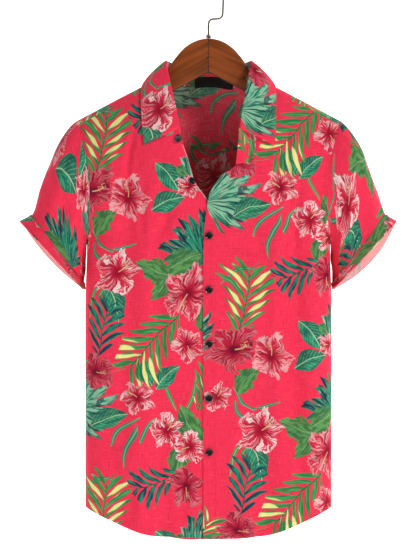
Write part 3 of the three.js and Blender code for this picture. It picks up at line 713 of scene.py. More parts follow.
def shell(
    name: str, sheet: Sheet, outer: Array, inner: Array, raw: tuple | None = None
) -> bpy.types.Object:
    """Makes a closed thin shell between two grids.

    Args:
        name: The object's name.
        sheet: Gives the print coordinates, the stitch distances and whether it is closed.
        outer: The outer grid, in millimetres.
        inner: The inner grid, in millimetres.
        raw: Layer, rows and columns that show the pale raw side with a painted highlight on it, if any do.

    Returns:
        The mesh object.
    """
    rows, columns = outer.shape[:2]
    index = np.arange(rows * columns).reshape(rows, columns)
    under = index + rows * columns

    def quads(a: Array, b: Array, c: Array, d: Array) -> Array:
        """Joins four grids of corner numbers into faces."""
        return np.stack((a, b, c, d), axis=-1).reshape(-1, 4)

    faces = [
        quads(index[:-1, :-1], index[:-1, 1:], index[1:, 1:], index[1:, :-1]),
        quads(under[:-1, :-1], under[1:, :-1], under[1:, 1:], under[:-1, 1:]),
        quads(index[0, :-1], under[0, :-1], under[0, 1:], index[0, 1:]),
        quads(index[-1, :-1], index[-1, 1:], under[-1, 1:], under[-1, :-1]),
    ]
    if not sheet.closed:
        faces.append(quads(index[:-1, 0], index[1:, 0], under[1:, 0], under[:-1, 0]))
        faces.append(quads(index[:-1, -1], under[:-1, -1], under[1:, -1], index[1:, -1]))
    vertices = np.concatenate((outer.reshape(-1, 3), inner.reshape(-1, 3))) * MILLIMETRE
    corners = np.concatenate(faces)
    flat = np.concatenate((sheet.flat.reshape(-1, 2),) * 2)[corners.ravel()]
    if sheet.closed:
        ring = np.arange(2 * rows * columns).reshape(2 * rows, columns)
        ring[:, -1] = ring[:, 0]
        corners = ring.ravel()[corners]
    a, b, c, d = (vertices[corners[:, k]] for k in range(4))
    volume = (np.cross(c - a, d - b) * (a + b + c + d)).sum()
    if volume < 0:
        corners = corners[:, ::-1]
        flat = flat.reshape(-1, 4, 2)[:, ::-1].reshape(-1, 2)
    mesh = bpy.data.meshes.new(name)
    used, compact = np.unique(corners, return_inverse=True)
    mesh.from_pydata(vertices[used].tolist(), [], compact.reshape(-1, 4).tolist())
    layer = mesh.uv_layers.new(name="Cloth")
    layer.uv.foreach_set("vector", flat.astype(np.float32).ravel())
    wrong = np.repeat([0.0, 1.0], rows * columns).reshape(2, rows, columns)
    # Rows marked 2 are painted paler than the rest of the wrong side: the raw side's pallor with a painted
    # highlight.
    if raw is not None:
        wrong[raw] = 2.0
    wrong = wrong.ravel()[used]
    seam = np.concatenate((sheet.seam.ravel(),) * 2)[used]
    for key, values in (("wrong_side", wrong), ("seam", seam)):
        mesh.attributes.new(key, "FLOAT", "POINT").data.foreach_set("value", values.astype(np.float32))
    mesh.shade_smooth()
    mesh.set_sharp_from_angle(angle=math.radians(50))
    return add_object(name, mesh)


def mesh_object(name: str, vertices: Array, faces: list, smooth_angle: float = 35.0) -> bpy.types.Object:
    """Makes a mesh object from vertices in millimetres, with sharp edges over an angle.

    Args:
        name: Its name.
        vertices: Places in millimetres.
        faces: The corners of each face.
        smooth_angle: Edges over this angle in degrees are sharp.

    Returns:
        The object.
    """
    mesh = bpy.data.meshes.new(name)
    mesh.from_pydata((np.asarray(vertices) * MILLIMETRE).tolist(), [], [list(face) for face in faces])
    mesh.validate()
    mesh.shade_smooth()
    mesh.set_sharp_from_angle(angle=math.radians(smooth_angle))
    return add_object(name, mesh)


def plain_mesh(holder: bpy.types.Object) -> bpy.types.Mesh:
    """Gives an object's mesh with its modifiers applied, and removes the object.

    Args:
        holder: The object.

    Returns:
        The mesh.
    """
    bpy.context.view_layer.update()
    evaluated = holder.evaluated_get(bpy.context.evaluated_depsgraph_get())
    mesh = bpy.data.meshes.new_from_object(evaluated)
    holder.modifiers.clear()
    bpy.data.objects.remove(holder)
    return mesh


def ring_faces(rings: int, sides: int) -> list:
    """Gives the faces of a tube of rings, closed by flat caps.

    Args:
        rings: How many rings.
        sides: How many sides a ring has.

    Returns:
        The faces.
    """
    faces = []
    for i in range(rings - 1):
        for j in range(sides):
            k = (j + 1) % sides
            faces.append((i * sides + j, i * sides + k, (i + 1) * sides + k, (i + 1) * sides + j))
    faces.append(tuple(range(sides))[::-1])
    faces.append(tuple((rings - 1) * sides + j for j in range(sides)))
    return faces


def lathe(profile: list[tuple[float, float]], sides: int) -> tuple[Array, list]:
    """Turns a profile of radius and height round the Z axis.

    Args:
        profile: Pairs of radius and height, from the bottom to the top.
        sides: How many sides the turned body has.

    Returns:
        Its vertices and faces.
    """
    angles = np.linspace(0, 2 * math.pi, sides, endpoint=False)
    rings = [point(r * np.cos(angles), r * np.sin(angles), z) for r, z in profile]
    return np.concatenate(rings), ring_faces(len(rings), sides)


def panel_rows(armhole_rows: int, side_rows: int, share: float) -> Array:
    """Gives the rows of a panel, dense beside the armhole and below it."""
    upper = np.linspace(0, share, armhole_rows, endpoint=False)
    return np.concatenate((upper, np.linspace(share, 1, side_rows)))


@dataclass(frozen=True)
class Panels:
    """The two fronts and the back, each a grid between its seams and free edges."""

    form: BodyForm
    edges: FrontEdges
    collar: CollarForm
    armhole_steps: int = 10
    side_steps: int = 11
    crowding: float = 1.45
    easing: float = 0.35
    gap: float = 0.12
    shoulder_forward: float = 15.0
    tip_z: float = -232.0
    yoke_back_z: float = -275.0
    hem_fold: float = 12.0
    hem_cloth: float = 1.9
    band: float = 20.0
    band_cloth: float = 1.8
    hem_stitch: float = 9.0
    seam_stitch: float = 4.0
    band_stitch: float = 19.0
    left_shift: tuple[float, float] = (-143.0, 158.0)
    back_shift: tuple[float, float] = (61.0, -97.0)
    front_columns: int = 62
    back_columns: int = 121
    neck_stations: tuple = (0.52, 0.58, 0.64, 0.71, 0.78, 0.84, 0.9, 0.93, 0.96, 0.98, 1)

    @property
    def share(self) -> float:
        """The share of a panel's rows that end in the armhole."""
        return self.armhole_steps / (self.armhole_steps + self.side_steps)

    def outer_z(self, face: int, top_z: float, v: Number) -> Number:
        """Gives the heights at which rows end: down the armhole, then the side seam.

        Args:
            face: FRONT or BACK.
            top_z: Height of the first row.
            v: Rows, from the top (0) to the hem (1).

        Returns:
            The heights.
        """
        down = np.clip(v / self.share, 0, 1)
        eased = lerp(down, np.sin(down * math.pi / 2), self.easing)
        upper = lerp(top_z, self.form.underarm_z, eased)
        down = np.clip((v - self.share) / (1 - self.share), 0, 1)
        lower = lerp(self.form.underarm_z, self.form.hem_z(face, self.form.half_width_mm), down)
        return np.where(v <= self.share, upper, lower)

    def inner_edge(self, side: Side, v: Array) -> tuple[Array, Array]:
        """Gives shares and heights down the collar seam and then the free edge.

        Args:
            side: Which front.
            v: Rows, from the top (0) to the hem (1).

        Returns:
            Shares and heights.
        """
        sign = side.value
        row = v * (self.armhole_steps + self.side_steps)
        at = np.interp(row, np.arange(len(self.neck_stations)), self.neck_stations)
        seam = self.collar.lines(sign * at)[0]
        neck_x, neck_z = np.abs(seam[..., 0]) + self.gap, seam[..., 2] - self.gap
        down = np.clip((v - self.share) / (1 - self.share), 0, 1) ** self.crowding
        edge_z = lerp(self.edges.top_z(side), self.form.hem_z(FRONT, 0.0), down)
        edge_x = sign * self.edges.x_at(side, edge_z)
        upper = v <= self.share + 1e-9
        x, z = np.where(upper, neck_x, edge_x), np.where(upper, neck_z, edge_z)
        return self.form.share_from_x(x, z), z

    def front_places(self, side: Side, u: Array, v: Array) -> tuple[Array, Array]:
        """Gives x and z of a front's grid.

        Args:
            side: Which front.
            u: Columns, from the free edge (0) to the side (1).
            v: Rows, from the shoulder (0) to the hem (1).

        Returns:
            Signed x and heights, as grids.
        """
        form = self.form
        first_share, first_z = self.inner_edge(side, v)
        neck_x = abs(float(self.collar.lines(np.array([side.value * self.neck_stations[0]]))[0][0, 0]))
        tip_x = float(form.armhole_x(self.tip_z))
        top_x = lerp(neck_x + self.gap, tip_x, u)
        over = lerp(self.shoulder_forward, float(form.over_from_z(tip_x, self.tip_z)), u)
        top_z = form.over_ridge(top_x, -over)[..., 2] - self.gap
        top_share = form.share_from_x(top_x, top_z)
        bottom_share = lerp(first_share[-1], 1.0, u)
        bottom_z = form.hem_z(FRONT, form.x_from_share(bottom_share, form.front_hem[0]))
        last_z = self.outer_z(FRONT, float(top_z[-1]), v)

        def blend(top: Array, bottom: Array, first: Array, last: Array) -> Array:
            """Fills a grid from its four edges.

            Args:
                top: The first row.
                bottom: The last row.
                first: The first column.
                last: The last column.

            Returns:
                The grid.
            """
            uu, vv = u[None, :], v[:, None]
            corners = lerp(lerp(top[0], top[-1], uu), lerp(bottom[0], bottom[-1], uu), vv)
            return lerp(top[None], bottom[None], vv) + lerp(first[:, None], last[:, None], uu) - corners

        share = blend(top_share, bottom_share, first_share, np.ones_like(v))
        z = blend(top_z, bottom_z, first_z, last_z)
        return side.value * form.x_from_share(share, z), z

    def front(self, side: Side) -> Sheet:
        """Gives the grid of a front, its print place and its stitch distances.

        Args:
            side: Which front.

        Returns:
            The front's sheet.
        """
        u, v = np.linspace(0, 1, self.front_columns), panel_rows(72, 90, self.share)
        x, z = self.front_places(side, u, v)
        points = self.edges.at(side, x, z)
        flat = print_place(self.form.flat_x(x, z), z)
        if side is Side.LEFT:
            flat = flat + self.left_shift
        from_edge = np.abs(x - self.edges.x_at(side, z))
        from_hem = z - self.form.hem_z(FRONT, x)
        from_top = np.abs(z - z[0]) - self.seam_stitch
        from_band = np.where(z < self.edges.top_z(side), np.abs(from_edge - self.band_stitch), 99)
        lines = [np.abs(from_hem - self.hem_stitch), np.abs(from_top), from_band]
        return Sheet(points, flat, np.minimum.reduce(lines))

    def back(self) -> Sheet:
        """Gives the grid of the back.

        Returns:
            The back's sheet.
        """
        u = np.linspace(-1, 1, self.back_columns)[None, :]
        v = panel_rows(56, 92, self.share)[:, None]
        top_z = self.yoke_back_z - self.gap
        hem_middle, rise = self.form.back_hem
        middle_z = lerp(top_z, hem_middle, v)
        hem_rise = self.form.hem_z(BACK, self.form.x_from_share(u, hem_middle)) - hem_middle
        edge_rise = self.outer_z(BACK, top_z, v) - middle_z - v * rise
        z = middle_z + v * hem_rise + u * u * edge_rise
        x = self.form.x_from_share(u + 0 * v, z)
        flat = print_place(self.form.flat_x(x, z), z) + self.back_shift
        from_hem = np.abs(z - self.form.hem_z(BACK, x) - self.hem_stitch)
        seam = np.minimum(from_hem, np.abs(z - top_z + self.seam_stitch))
        return Sheet(self.form.at(BACK, x, z), flat, seam)

    def thickness(self, side: Side | None, sheet: Sheet) -> Array:
        """Gives the cloth's thickness over a panel, more at the band and the hem.

        Args:
            side: Which front.
            sheet: The panel's grid.

        Returns:
            The thickness at each point.
        """
        x, z = sheet.points[..., 0], sheet.points[..., 2]
        face = BACK if side is None else FRONT
        folded = np.where(z < self.form.hem_z(face, x) + self.hem_fold, self.hem_cloth, CLOTH)
        if side is Side.LEFT:
            from_edge = np.abs(x - self.edges.x_at(side, z))
            folded = np.maximum(folded, np.where(from_edge < self.band, self.band_cloth, CLOTH))
        return folded


def print_place(flat_x: Number, z: Number) -> Array:
    """Gives the print coordinates of a place on the cloth: across and up, in print units.

    Args:
        flat_x: The way along the cloth from the middle.
        z: Height.

    Returns:
        The print coordinates.
    """
    across = np.asarray(flat_x) / PRINT_UNIT + PRINT_MIDDLE
    up = np.asarray(z) / PRINT_UNIT + PRINT_TOP
    return np.stack(np.broadcast_arrays(across, up), axis=-1)


def mirrored(values: Array, sign: int) -> Array:
    """Puts the other half before values that start in the middle."""
    return np.concatenate((sign * values[:0:-1], values))


@dataclass(frozen=True)
class Yoke:
    """The shoulder piece, which wraps from a seam across the back to seams on the front."""

    form: BodyForm
    collar: CollarForm
    gap: float = 0.12
    back_z: float = -275.0
    back_x: tuple = (0, 27, 58, 90, 120, 147, 173, 195.2)
    armhole_z: tuple = (-275, -257, -243, -234, -228.5, -225.2, -227.5, -232)
    rows: int = 40
    columns: int = 92
    stitch: float = 4.0
    print_shift: tuple[float, float] = (61.0, 30.0 - 120.0 / PRINT_UNIT)
    stations: tuple = (0, 0.06, 0.12, 0.18, 0.23, 0.27, 0.31, 0.34, 0.37, 0.39, 0.41, 0.425, 0.44, 0.47, 0.52)

    def sheet(self) -> Sheet:
        """Gives the yoke's grid as rays from the collar seam to its outer seams.

        Returns:
            The yoke's sheet.
        """
        form = self.form
        place = np.linspace(0, 14, self.columns)
        at = np.interp(place, np.arange(15), self.stations)
        back_x = np.interp(place, np.arange(8), self.back_x)
        back_over = form.over_from_z(back_x, self.back_z)
        hole_z = np.array(self.armhole_z, float)
        hole_x = form.armhole_x(hole_z)
        signs = np.array([1, 1, 1, 1, 1, 1, -1, -1])
        hole_over = form.over_from_z(hole_x, hole_z) * signs
        out_x = np.where(place <= 7, back_x, np.interp(place - 7, np.arange(8), hole_x))
        out_over = np.where(place <= 7, back_over, np.interp(place - 7, np.arange(8), hole_over))
        seam_x = read_table(self.collar.table, 1, at)
        seam_over = read_table(self.collar.table, 2, at)
        seam_x, out_x = mirrored(seam_x, -1), mirrored(out_x, -1)
        seam_over, out_over = mirrored(seam_over, 1), mirrored(out_over, 1)
        t = np.linspace(0, 1, self.rows)[:, None]
        way = np.hypot(out_x - seam_x, out_over - seam_over)
        s = t + self.gap * (1 - t) / way
        x, over = lerp(seam_x, out_x, s), lerp(seam_over, out_over, s)
        flat = print_place(x, -over) + self.print_shift
        from_out = np.abs((1 - s) * way - self.stitch)
        return Sheet(form.over_ridge(x, over), flat, from_out)


@dataclass(frozen=True)
class Collar:
    """The collar's stand and the leaf that folds over it."""

    lines: CollarForm
    band: float = 1.6
    cloth: float = 1.3
    start_gap: float = 0.8
    bulge: float = 3.2
    roll_radius: float = 1.9
    roll_lift: float = 0.4
    roll_rows: int = 8
    leaf_rows: int = 44
    columns: int = 221
    stitch: float = 5.0
    right_shift: tuple[float, float] = (-36.0, -163.0)
    left_shift: tuple[float, float] = (-176.0, -302.0)

    def stations(self) -> tuple[Array, Array, Array]:
        """Gives the collar's three lines from end to end."""
        return self.lines.lines(np.linspace(-1, 1, self.columns))

    def stand(self) -> Sheet:
        """Gives the stand's grid, from its seam up to the roll line.

        Returns:
            The stand's sheet.
        """
        seam, roll, _ = self.stations()
        foot = seam + 0.12 * unit(roll - seam)
        t = np.linspace(0, 1, 14)[:, None, None]
        points = lerp(foot, roll, t)
        along = np.cumsum(np.linalg.norm(np.diff(seam, axis=0, prepend=seam[:1]), axis=1))
        height = np.linalg.norm(roll - seam, axis=1)
        flat = print_place(along - along[-1] / 2, t[..., 0] * height - 700)
        return Sheet(points, flat, np.abs(t[..., 0] * height - 3))

    def leaf(self) -> Sheet:
        """Gives the leaf's grid, which rolls over the stand's top and falls to the outer edge.

        Returns:
            The leaf's sheet.
        """
        seam, roll, out = self.stations()
        along = np.gradient(roll, axis=0)
        outward = unit(np.cross(along, roll - seam))
        outward = outward * np.sign((outward[:, :2] * roll[:, :2]).sum(axis=1))[:, None]
        upward = unit(roll - seam)
        away = CLOTH + self.start_gap
        turn = np.linspace(-math.pi, 0, self.roll_rows + 1)[:-1, None, None]
        centre = roll + outward * (away - self.roll_radius) + upward * self.roll_lift
        rolled = centre + self.roll_radius * (outward * np.cos(turn) - upward * np.sin(turn))
        t = np.linspace(0, 1, self.leaf_rows)[:, None, None]
        push = away * (1 - t) + self.bulge * np.sin(math.pi * t) ** 0.8
        fallen = lerp(roll, out, t) + outward * push + upward * self.roll_lift * (1 - t)
        points = np.concatenate((rolled, fallen))
        width = np.linalg.norm(out - roll, axis=1)
        sideways = np.cumsum(np.linalg.norm(np.diff(out, axis=0, prepend=out[:1]), axis=1))
        down = np.concatenate((np.zeros(self.roll_rows), t[:, 0, 0]))[:, None] * width
        from_end = np.minimum(sideways, sideways[-1] - sideways)
        seam_line = np.minimum(np.abs(width - down - self.stitch), np.abs(from_end - self.stitch))
        return Sheet(points, self.flat_leaf(points), seam_line)

    def flat_leaf(self, points: Array) -> Array:
        """Gives the leaf's print places, measured along the cloth from both of its front ends.

        Args:
            points: The leaf's grid.

        Returns:
            The print coordinates.
        """
        steps = np.linalg.norm(np.diff(points[..., :2], axis=1, prepend=points[:, :1, :2]), axis=-1)
        along = np.cumsum(steps, axis=1)
        x, z = points[..., 0], points[..., 2]
        right = print_place(x[:, :1] - along, z) + self.right_shift
        left = print_place(x[:, -1:] + along[:, -1:] - along, z) + self.left_shift
        return np.where((x < 0)[..., None], right, left)


@dataclass(frozen=True)
class Sleeve:
    """A sleeve as sections along the arm, with creases, and its turned-up cuff."""

    form: BodyForm
    side: Side
    sections: tuple = (
        (0, 208, -224, 191, -418, 40), (0.1, 222.5, -234, 193.6, -427, 43),
        (0.22, 235.5, -254, 194, -438, 46), (0.42, 252, -293, 194.4, -452, 47),
        (0.64, 268, -336, 195.6, -468, 46), (0.84, 281, -375, 197, -483, 46),
        (1, 298, -386, 197.6, -493, 53),
    )
    folds_right: tuple = (
        (-2.3, 0.22, 8, 0.02, 0.85), (-1.45, 0.26, 4, 0.2, 0.95), (2.2, 0.24, 8, 0.02, 0.85),
        (-2.72, 0.3, 10, 0.05, 1.5), (-1.9, 0.1, 3.2, 0.0, 0.6), (-0.9, 0.13, 2.0, 0.02, 0.5),
        (-0.45, 0.1, 1.3, 0.0, 0.35), (0.5, 0.12, 1.8, 0.0, 0.5), (1.3, 0.14, 2.4, 0.05, 0.8),
    )
    folds_left: tuple = (
        (-2.3, 0.22, 8, 0.02, 0.9), (-1.3, 0.24, 4.5, 0.3, 0.95), (2.15, 0.24, 8, 0.02, 0.85),
        (-2.72, 0.3, 10, 0.05, 1.5), (-1.8, 0.11, 3.4, 0.0, 0.65), (-0.8, 0.12, 2.2, 0.02, 0.55),
        (-0.4, 0.09, 1.4, 0.0, 0.35), (0.6, 0.12, 1.8, 0.0, 0.5), (1.4, 0.14, 2.2, 0.05, 0.8),
    )
    drop_right: float = 8.0
    drop_left: float = 15.0
    top_z: float = -225.2
    columns: int = 133
    print_shift: tuple[float, float] = (40.0, -60.0)
    girth_radius: float = 62.0
    length: float = 165.0
    cuff_from: float = 24.0
    gap: float = 0.1

    def armhole(self, turn: Number) -> Array:
        """Gives points of the armhole seam, from the turn round it.

        Args:
            turn: Angle round it, 0 at the top.

        Returns:
            The points.
        """
        z = lerp(self.top_z, self.form.underarm_z, (1 - np.cos(turn)) / 2)
        x = self.form.x_from_turn(np.minimum(self.form.armhole_turn(z), self.form.side_turn), z)
        return self.form.at(np.where(turn < 0, FRONT, BACK), x, z)

    def at(self, t: Number, turn: Number) -> Array:
        """Gives points of the sleeve on the wearer's left, mirrored for the right one.

        Args:
            t: Place along the arm, from the armhole (0) to the mouth (1).
            turn: Angle round it, 0 at the top and negative on the front.

        Returns:
            The points.
        """
        right = self.side is Side.RIGHT
        t, turn = np.broadcast_arrays(t, turn)
        top_x, top_z, bottom_x, bottom_z, depth = (
            read_table(self.sections, column, t) for column in range(1, 6)
        )
        top, bottom = point(top_x, 0.0, top_z), point(bottom_x, 0.0, bottom_z)
        made = lerp(top, bottom, ((1 - np.cos(turn)) / 2)[..., None])
        made[..., 1] = depth * np.sign(turn) * np.abs(np.sin(turn)) ** 0.85
        for place, width, deep, start, end in self.folds_right if right else self.folds_left:
            along = (t - start) / (end - start)
            strength = smooth(0, 0.25, along) * (1 - smooth(0.6, 1, along))
            off = (turn - place - 0.12 * np.sin(3 * t + place)) / width
            trough = np.exp(-(off**2))
            for bank in (1.8, -1.8):
                trough = trough - 0.25 * np.exp(-((off - bank) ** 2))
            made[..., 1] -= np.sign(turn) * deep * strength * trough
        drop = self.drop_right if right else self.drop_left
        drop = drop * np.clip((t - 0.5) / 0.5, 0, 1) ** 2 * np.maximum(0, np.sin(turn)) ** 2
        across = unit(bottom - top)
        made[..., 0] -= across[..., 2] * drop
        made[..., 2] += across[..., 0] * drop
        made = made + self.crumple(t, turn)
        seam = self.armhole(turn)
        sewn_x = seam[..., 0] + self.gap + 40 * t * (1 - smooth(0, 0.3, t))
        seam[..., 0] += self.gap
        made = lerp(seam, made, (smooth(0, 0.34, t) ** 0.7)[..., None])
        made[..., 0] = np.maximum(made[..., 0], sewn_x)
        if right:
            made[..., 0] *= -1
        return made

    def crumple(self, t: Number, turn: Number) -> Array:
        """Gives the sleeve's small unevenness.

        Args:
            t: Place along the arm, from 0 to 1.
            turn: Angle round it, 0 at the top.

        Returns:
            The way each point moves.
        """
        shift = 1.7 if self.side is Side.RIGHT else 0.0
        waves = np.sin(5 * turn + 4 * t + shift) * np.sin(9 * t + 2 * turn + shift)
        waves = waves + 0.6 * np.sin(3 * turn - 13 * t + 2 * shift)
        size = 0.8 * waves * smooth(0.05, 0.3, t)
        return point(size * np.abs(np.cos(turn)), size * np.sin(turn), 0 * size)

    def sheet(self, start: float, end: float, rows: int) -> Sheet:
        """Gives the grid between two places along the arm.

        Args:
            start: Where it starts along the arm.
            end: Where it ends.
            rows: How many rows it has.

        Returns:
            The sleeve's sheet.
        """
        turn = np.linspace(-math.pi, math.pi, self.columns)[None, :]
        t = np.linspace(start, end, rows)[:, None]
        points = self.at(t, turn)
        across = self.side.value * turn * self.girth_radius + 0 * t
        flat = print_place(across, -t * self.length - 300 + 0 * turn) + self.print_shift
        from_cuff = np.abs((1 - t) * self.length - self.cuff_from)
        seam = np.minimum(np.abs(t * self.length - 4), from_cuff) + 0 * turn
        return Sheet(points, flat, seam, closed=True)


class Value:
    """A number in the shader, with the usual arithmetic."""

    def __init__(self, nodes: "Nodes", socket: Socket) -> None:
        """Keeps the tree's helper and the socket that gives the number."""
        self.nodes = nodes
        self.socket = socket

    def __add__(self, other: Input) -> "Value":
        """Adds."""
        return self.nodes.math("ADD", self, other)

    def __radd__(self, other: Input) -> "Value":
        """Adds."""
        return self.nodes.math("ADD", other, self)

    def __sub__(self, other: Input) -> "Value":
        """Subtracts."""
        return self.nodes.math("SUBTRACT", self, other)

    def __rsub__(self, other: Input) -> "Value":
        """Subtracts."""
        return self.nodes.math("SUBTRACT", other, self)

    def __mul__(self, other: Input) -> "Value":
        """Multiplies."""
        return self.nodes.math("MULTIPLY", self, other)

    def __rmul__(self, other: Input) -> "Value":
        """Multiplies."""
        return self.nodes.math("MULTIPLY", other, self)

    def __truediv__(self, other: Input) -> "Value":
        """Divides."""
        return self.nodes.math("DIVIDE", self, other)

    def __pow__(self, other: Input) -> "Value":
        """Raises to a power."""
        return self.nodes.math("POWER", self, other)

    def __abs__(self) -> "Value":
        """Drops the sign."""
        return self.nodes.math("ABSOLUTE", self)


class Nodes:
    """Short calls that add shader nodes to one tree and join them."""

    def __init__(self, tree: bpy.types.NodeTree) -> None:
        """Keeps the tree."""
        self.tree = tree

    def put(self, socket: Socket, value: Input) -> None:
        """Links a value to a socket, or sets it there.

        Args:
            socket: The input to fill.
            value: What goes in.
        """
        if isinstance(value, Value):
            value = value.socket
        if isinstance(value, bpy.types.NodeSocket):
            self.tree.links.new(value, socket)
        else:
            socket.default_value = value

    def add(self, kind: str, inputs: Iterable = (), **settings: str) -> bpy.types.Node:
        """Adds a node.

        Args:
            kind: The node's type.
            inputs: Pairs of input index or name, and value.
            settings: The node's own settings.

        Returns:
            The node.
        """
        node = self.tree.nodes.new(kind)
        for key, value in settings.items():
            setattr(node, key, value)
        for key, value in inputs:
            self.put(node.inputs[key], value)
        return node

    def math(self, operation: str, *values: Input) -> Value:
        """Adds one step of arithmetic."""
        return Value(self, self.add("ShaderNodeMath", enumerate(values), operation=operation).outputs[0])

    def vector(self, operation: str, *values: Input) -> Socket:
        """Adds one step of vector arithmetic and gives its vector."""
        node = self.add("ShaderNodeVectorMath", enumerate(values), operation=operation)
        return node.outputs["Value" if operation == "LENGTH" else "Vector"]

    def length(self, vector: Input) -> Value:
        """Gives a vector's length."""
        return Value(self, self.vector("LENGTH", vector))

    def split(self, vector: Input) -> tuple[Value, Value, Value]:
        """Gives a vector's three numbers."""
        node = self.add("ShaderNodeSeparateXYZ", [(0, vector)])
        return tuple(Value(self, socket) for socket in node.outputs)

    def join(self, x: Input, y: Input = 0.0, z: Input = 0.0) -> Socket:
        """Gives a vector of three numbers."""
        return self.add("ShaderNodeCombineXYZ", [(0, x), (1, y), (2, z)]).outputs[0]

    def step(self, value: Input, low: float, high: float) -> Value:
        """Gives 0 at low and 1 at high, eased, in either order.

        Args:
            value: The number to read.
            low: Where it gives 0.
            high: Where it gives 1.

        Returns:
            The eased number.
        """
        inputs = [(0, value), (1, low), (2, high), (3, 0.0), (4, 1.0)]
        node = self.add("ShaderNodeMapRange", inputs, interpolation_type="SMOOTHSTEP")
        return Value(self, node.outputs[0])

    def mix(self, share: Input, a: Input, b: Input, kind: str) -> Socket:
        """Mixes two vectors or colours.

        Args:
            share: How much of the second shows.
            a: The first.
            b: The second.
            kind: VECTOR or RGBA.

        Returns:
            The mix.
        """
        first, second, out = {"VECTOR": (4, 5, 1), "RGBA": (6, 7, 2)}[kind]
        inputs = [(0, share), (first, a), (second, b)]
        return self.add("ShaderNodeMix", inputs, data_type=kind).outputs[out]

    def colour(self, share: Input, a: Input, b: Input) -> Socket:
        """Mixes two colours."""
        return self.mix(share, a, b, "RGBA")

    def noise(self, vector: Input, scale: float, detail: float = 2.0, stretch: tuple | None = None) -> Value:
        """Gives seeded noise from 0 to 1 at a vector, stretched if asked.

        Args:
            vector: Where to read it.
            scale: How fine it is.
            detail: How many finer layers it has.
            stretch: A factor for each axis, or None.

        Returns:
            The noise.
        """
        if stretch is not None:
            vector = self.vector("MULTIPLY", vector, stretch)
        inputs = [("Vector", vector), ("Scale", scale), ("Detail", detail)]
        node = self.add("ShaderNodeTexNoise", inputs, noise_dimensions="3D")
        return Value(self, node.outputs[0])

    def chance(self, index: Value, seed: float) -> Value:
        """Gives a fixed random number from 0 to 1 for a whole number."""
        return self.math("FRACT", self.math("SINE", index * 12.9898 + seed) * 4375.85)

    def attribute(self, name: str) -> Value:
        """Gives one of the mesh's own attributes."""
        return Value(self, self.add("ShaderNodeAttribute", attribute_name=name).outputs["Fac"])

    def bump(self, height: Value, strength: float, distance: float) -> Socket:
        """Gives the normal of a fine relief, its full height in metres."""
        inputs = [("Strength", strength), ("Distance", distance), ("Height", height)]
        return self.add("ShaderNodeBump", inputs).outputs[0]


class Shader:
    """A new material with its node helper and its Principled shader."""

    def __init__(self, name: str) -> None:
        """Starts the material.

        Args:
            name: Its name.
        """
        self.material = bpy.data.materials.new(name)
        self.material.use_nodes = True
        self.nodes = Nodes(self.material.node_tree)
        self.inputs = self.material.node_tree.nodes["Principled BSDF"].inputs

    def finish(self, linked: dict[str, Input], **plain: float) -> bpy.types.Material:
        """Fills the shader's inputs.

        Args:
            linked: What is linked to each named input.
            plain: Plain numbers, named as the inputs are, with lines for spaces.

        Returns:
            The material.
        """
        for name, value in linked.items():
            self.nodes.put(self.inputs[name], value)
        for name, value in plain.items():
            self.inputs[name.replace("_", " ")].default_value = value
        return self.material


def rgb(red: int, green: int, blue: int) -> tuple[float, float, float, float]:
    """Turns a screen colour of 0 to 255 into the shader's linear one."""
    linear = [((c / 255 + 0.055) / 1.055) ** 2.4 if c > 10 else c / 3294 for c in (red, green, blue)]
    return (*linear, 1.0)


@dataclass(frozen=True)
class Motif:
    """One drawn motif: its middle in the tile, its turn in degrees, its length and its look."""

    x: float
    y: float
    turn: float
    size: float
    look: tuple[float, float, float] = (0.0, 0.0, 0.0)


def motifs(*rows: tuple) -> tuple[Motif, ...]:
    """Makes motifs from rows of their values."""
    return tuple(Motif(*row) for row in rows)


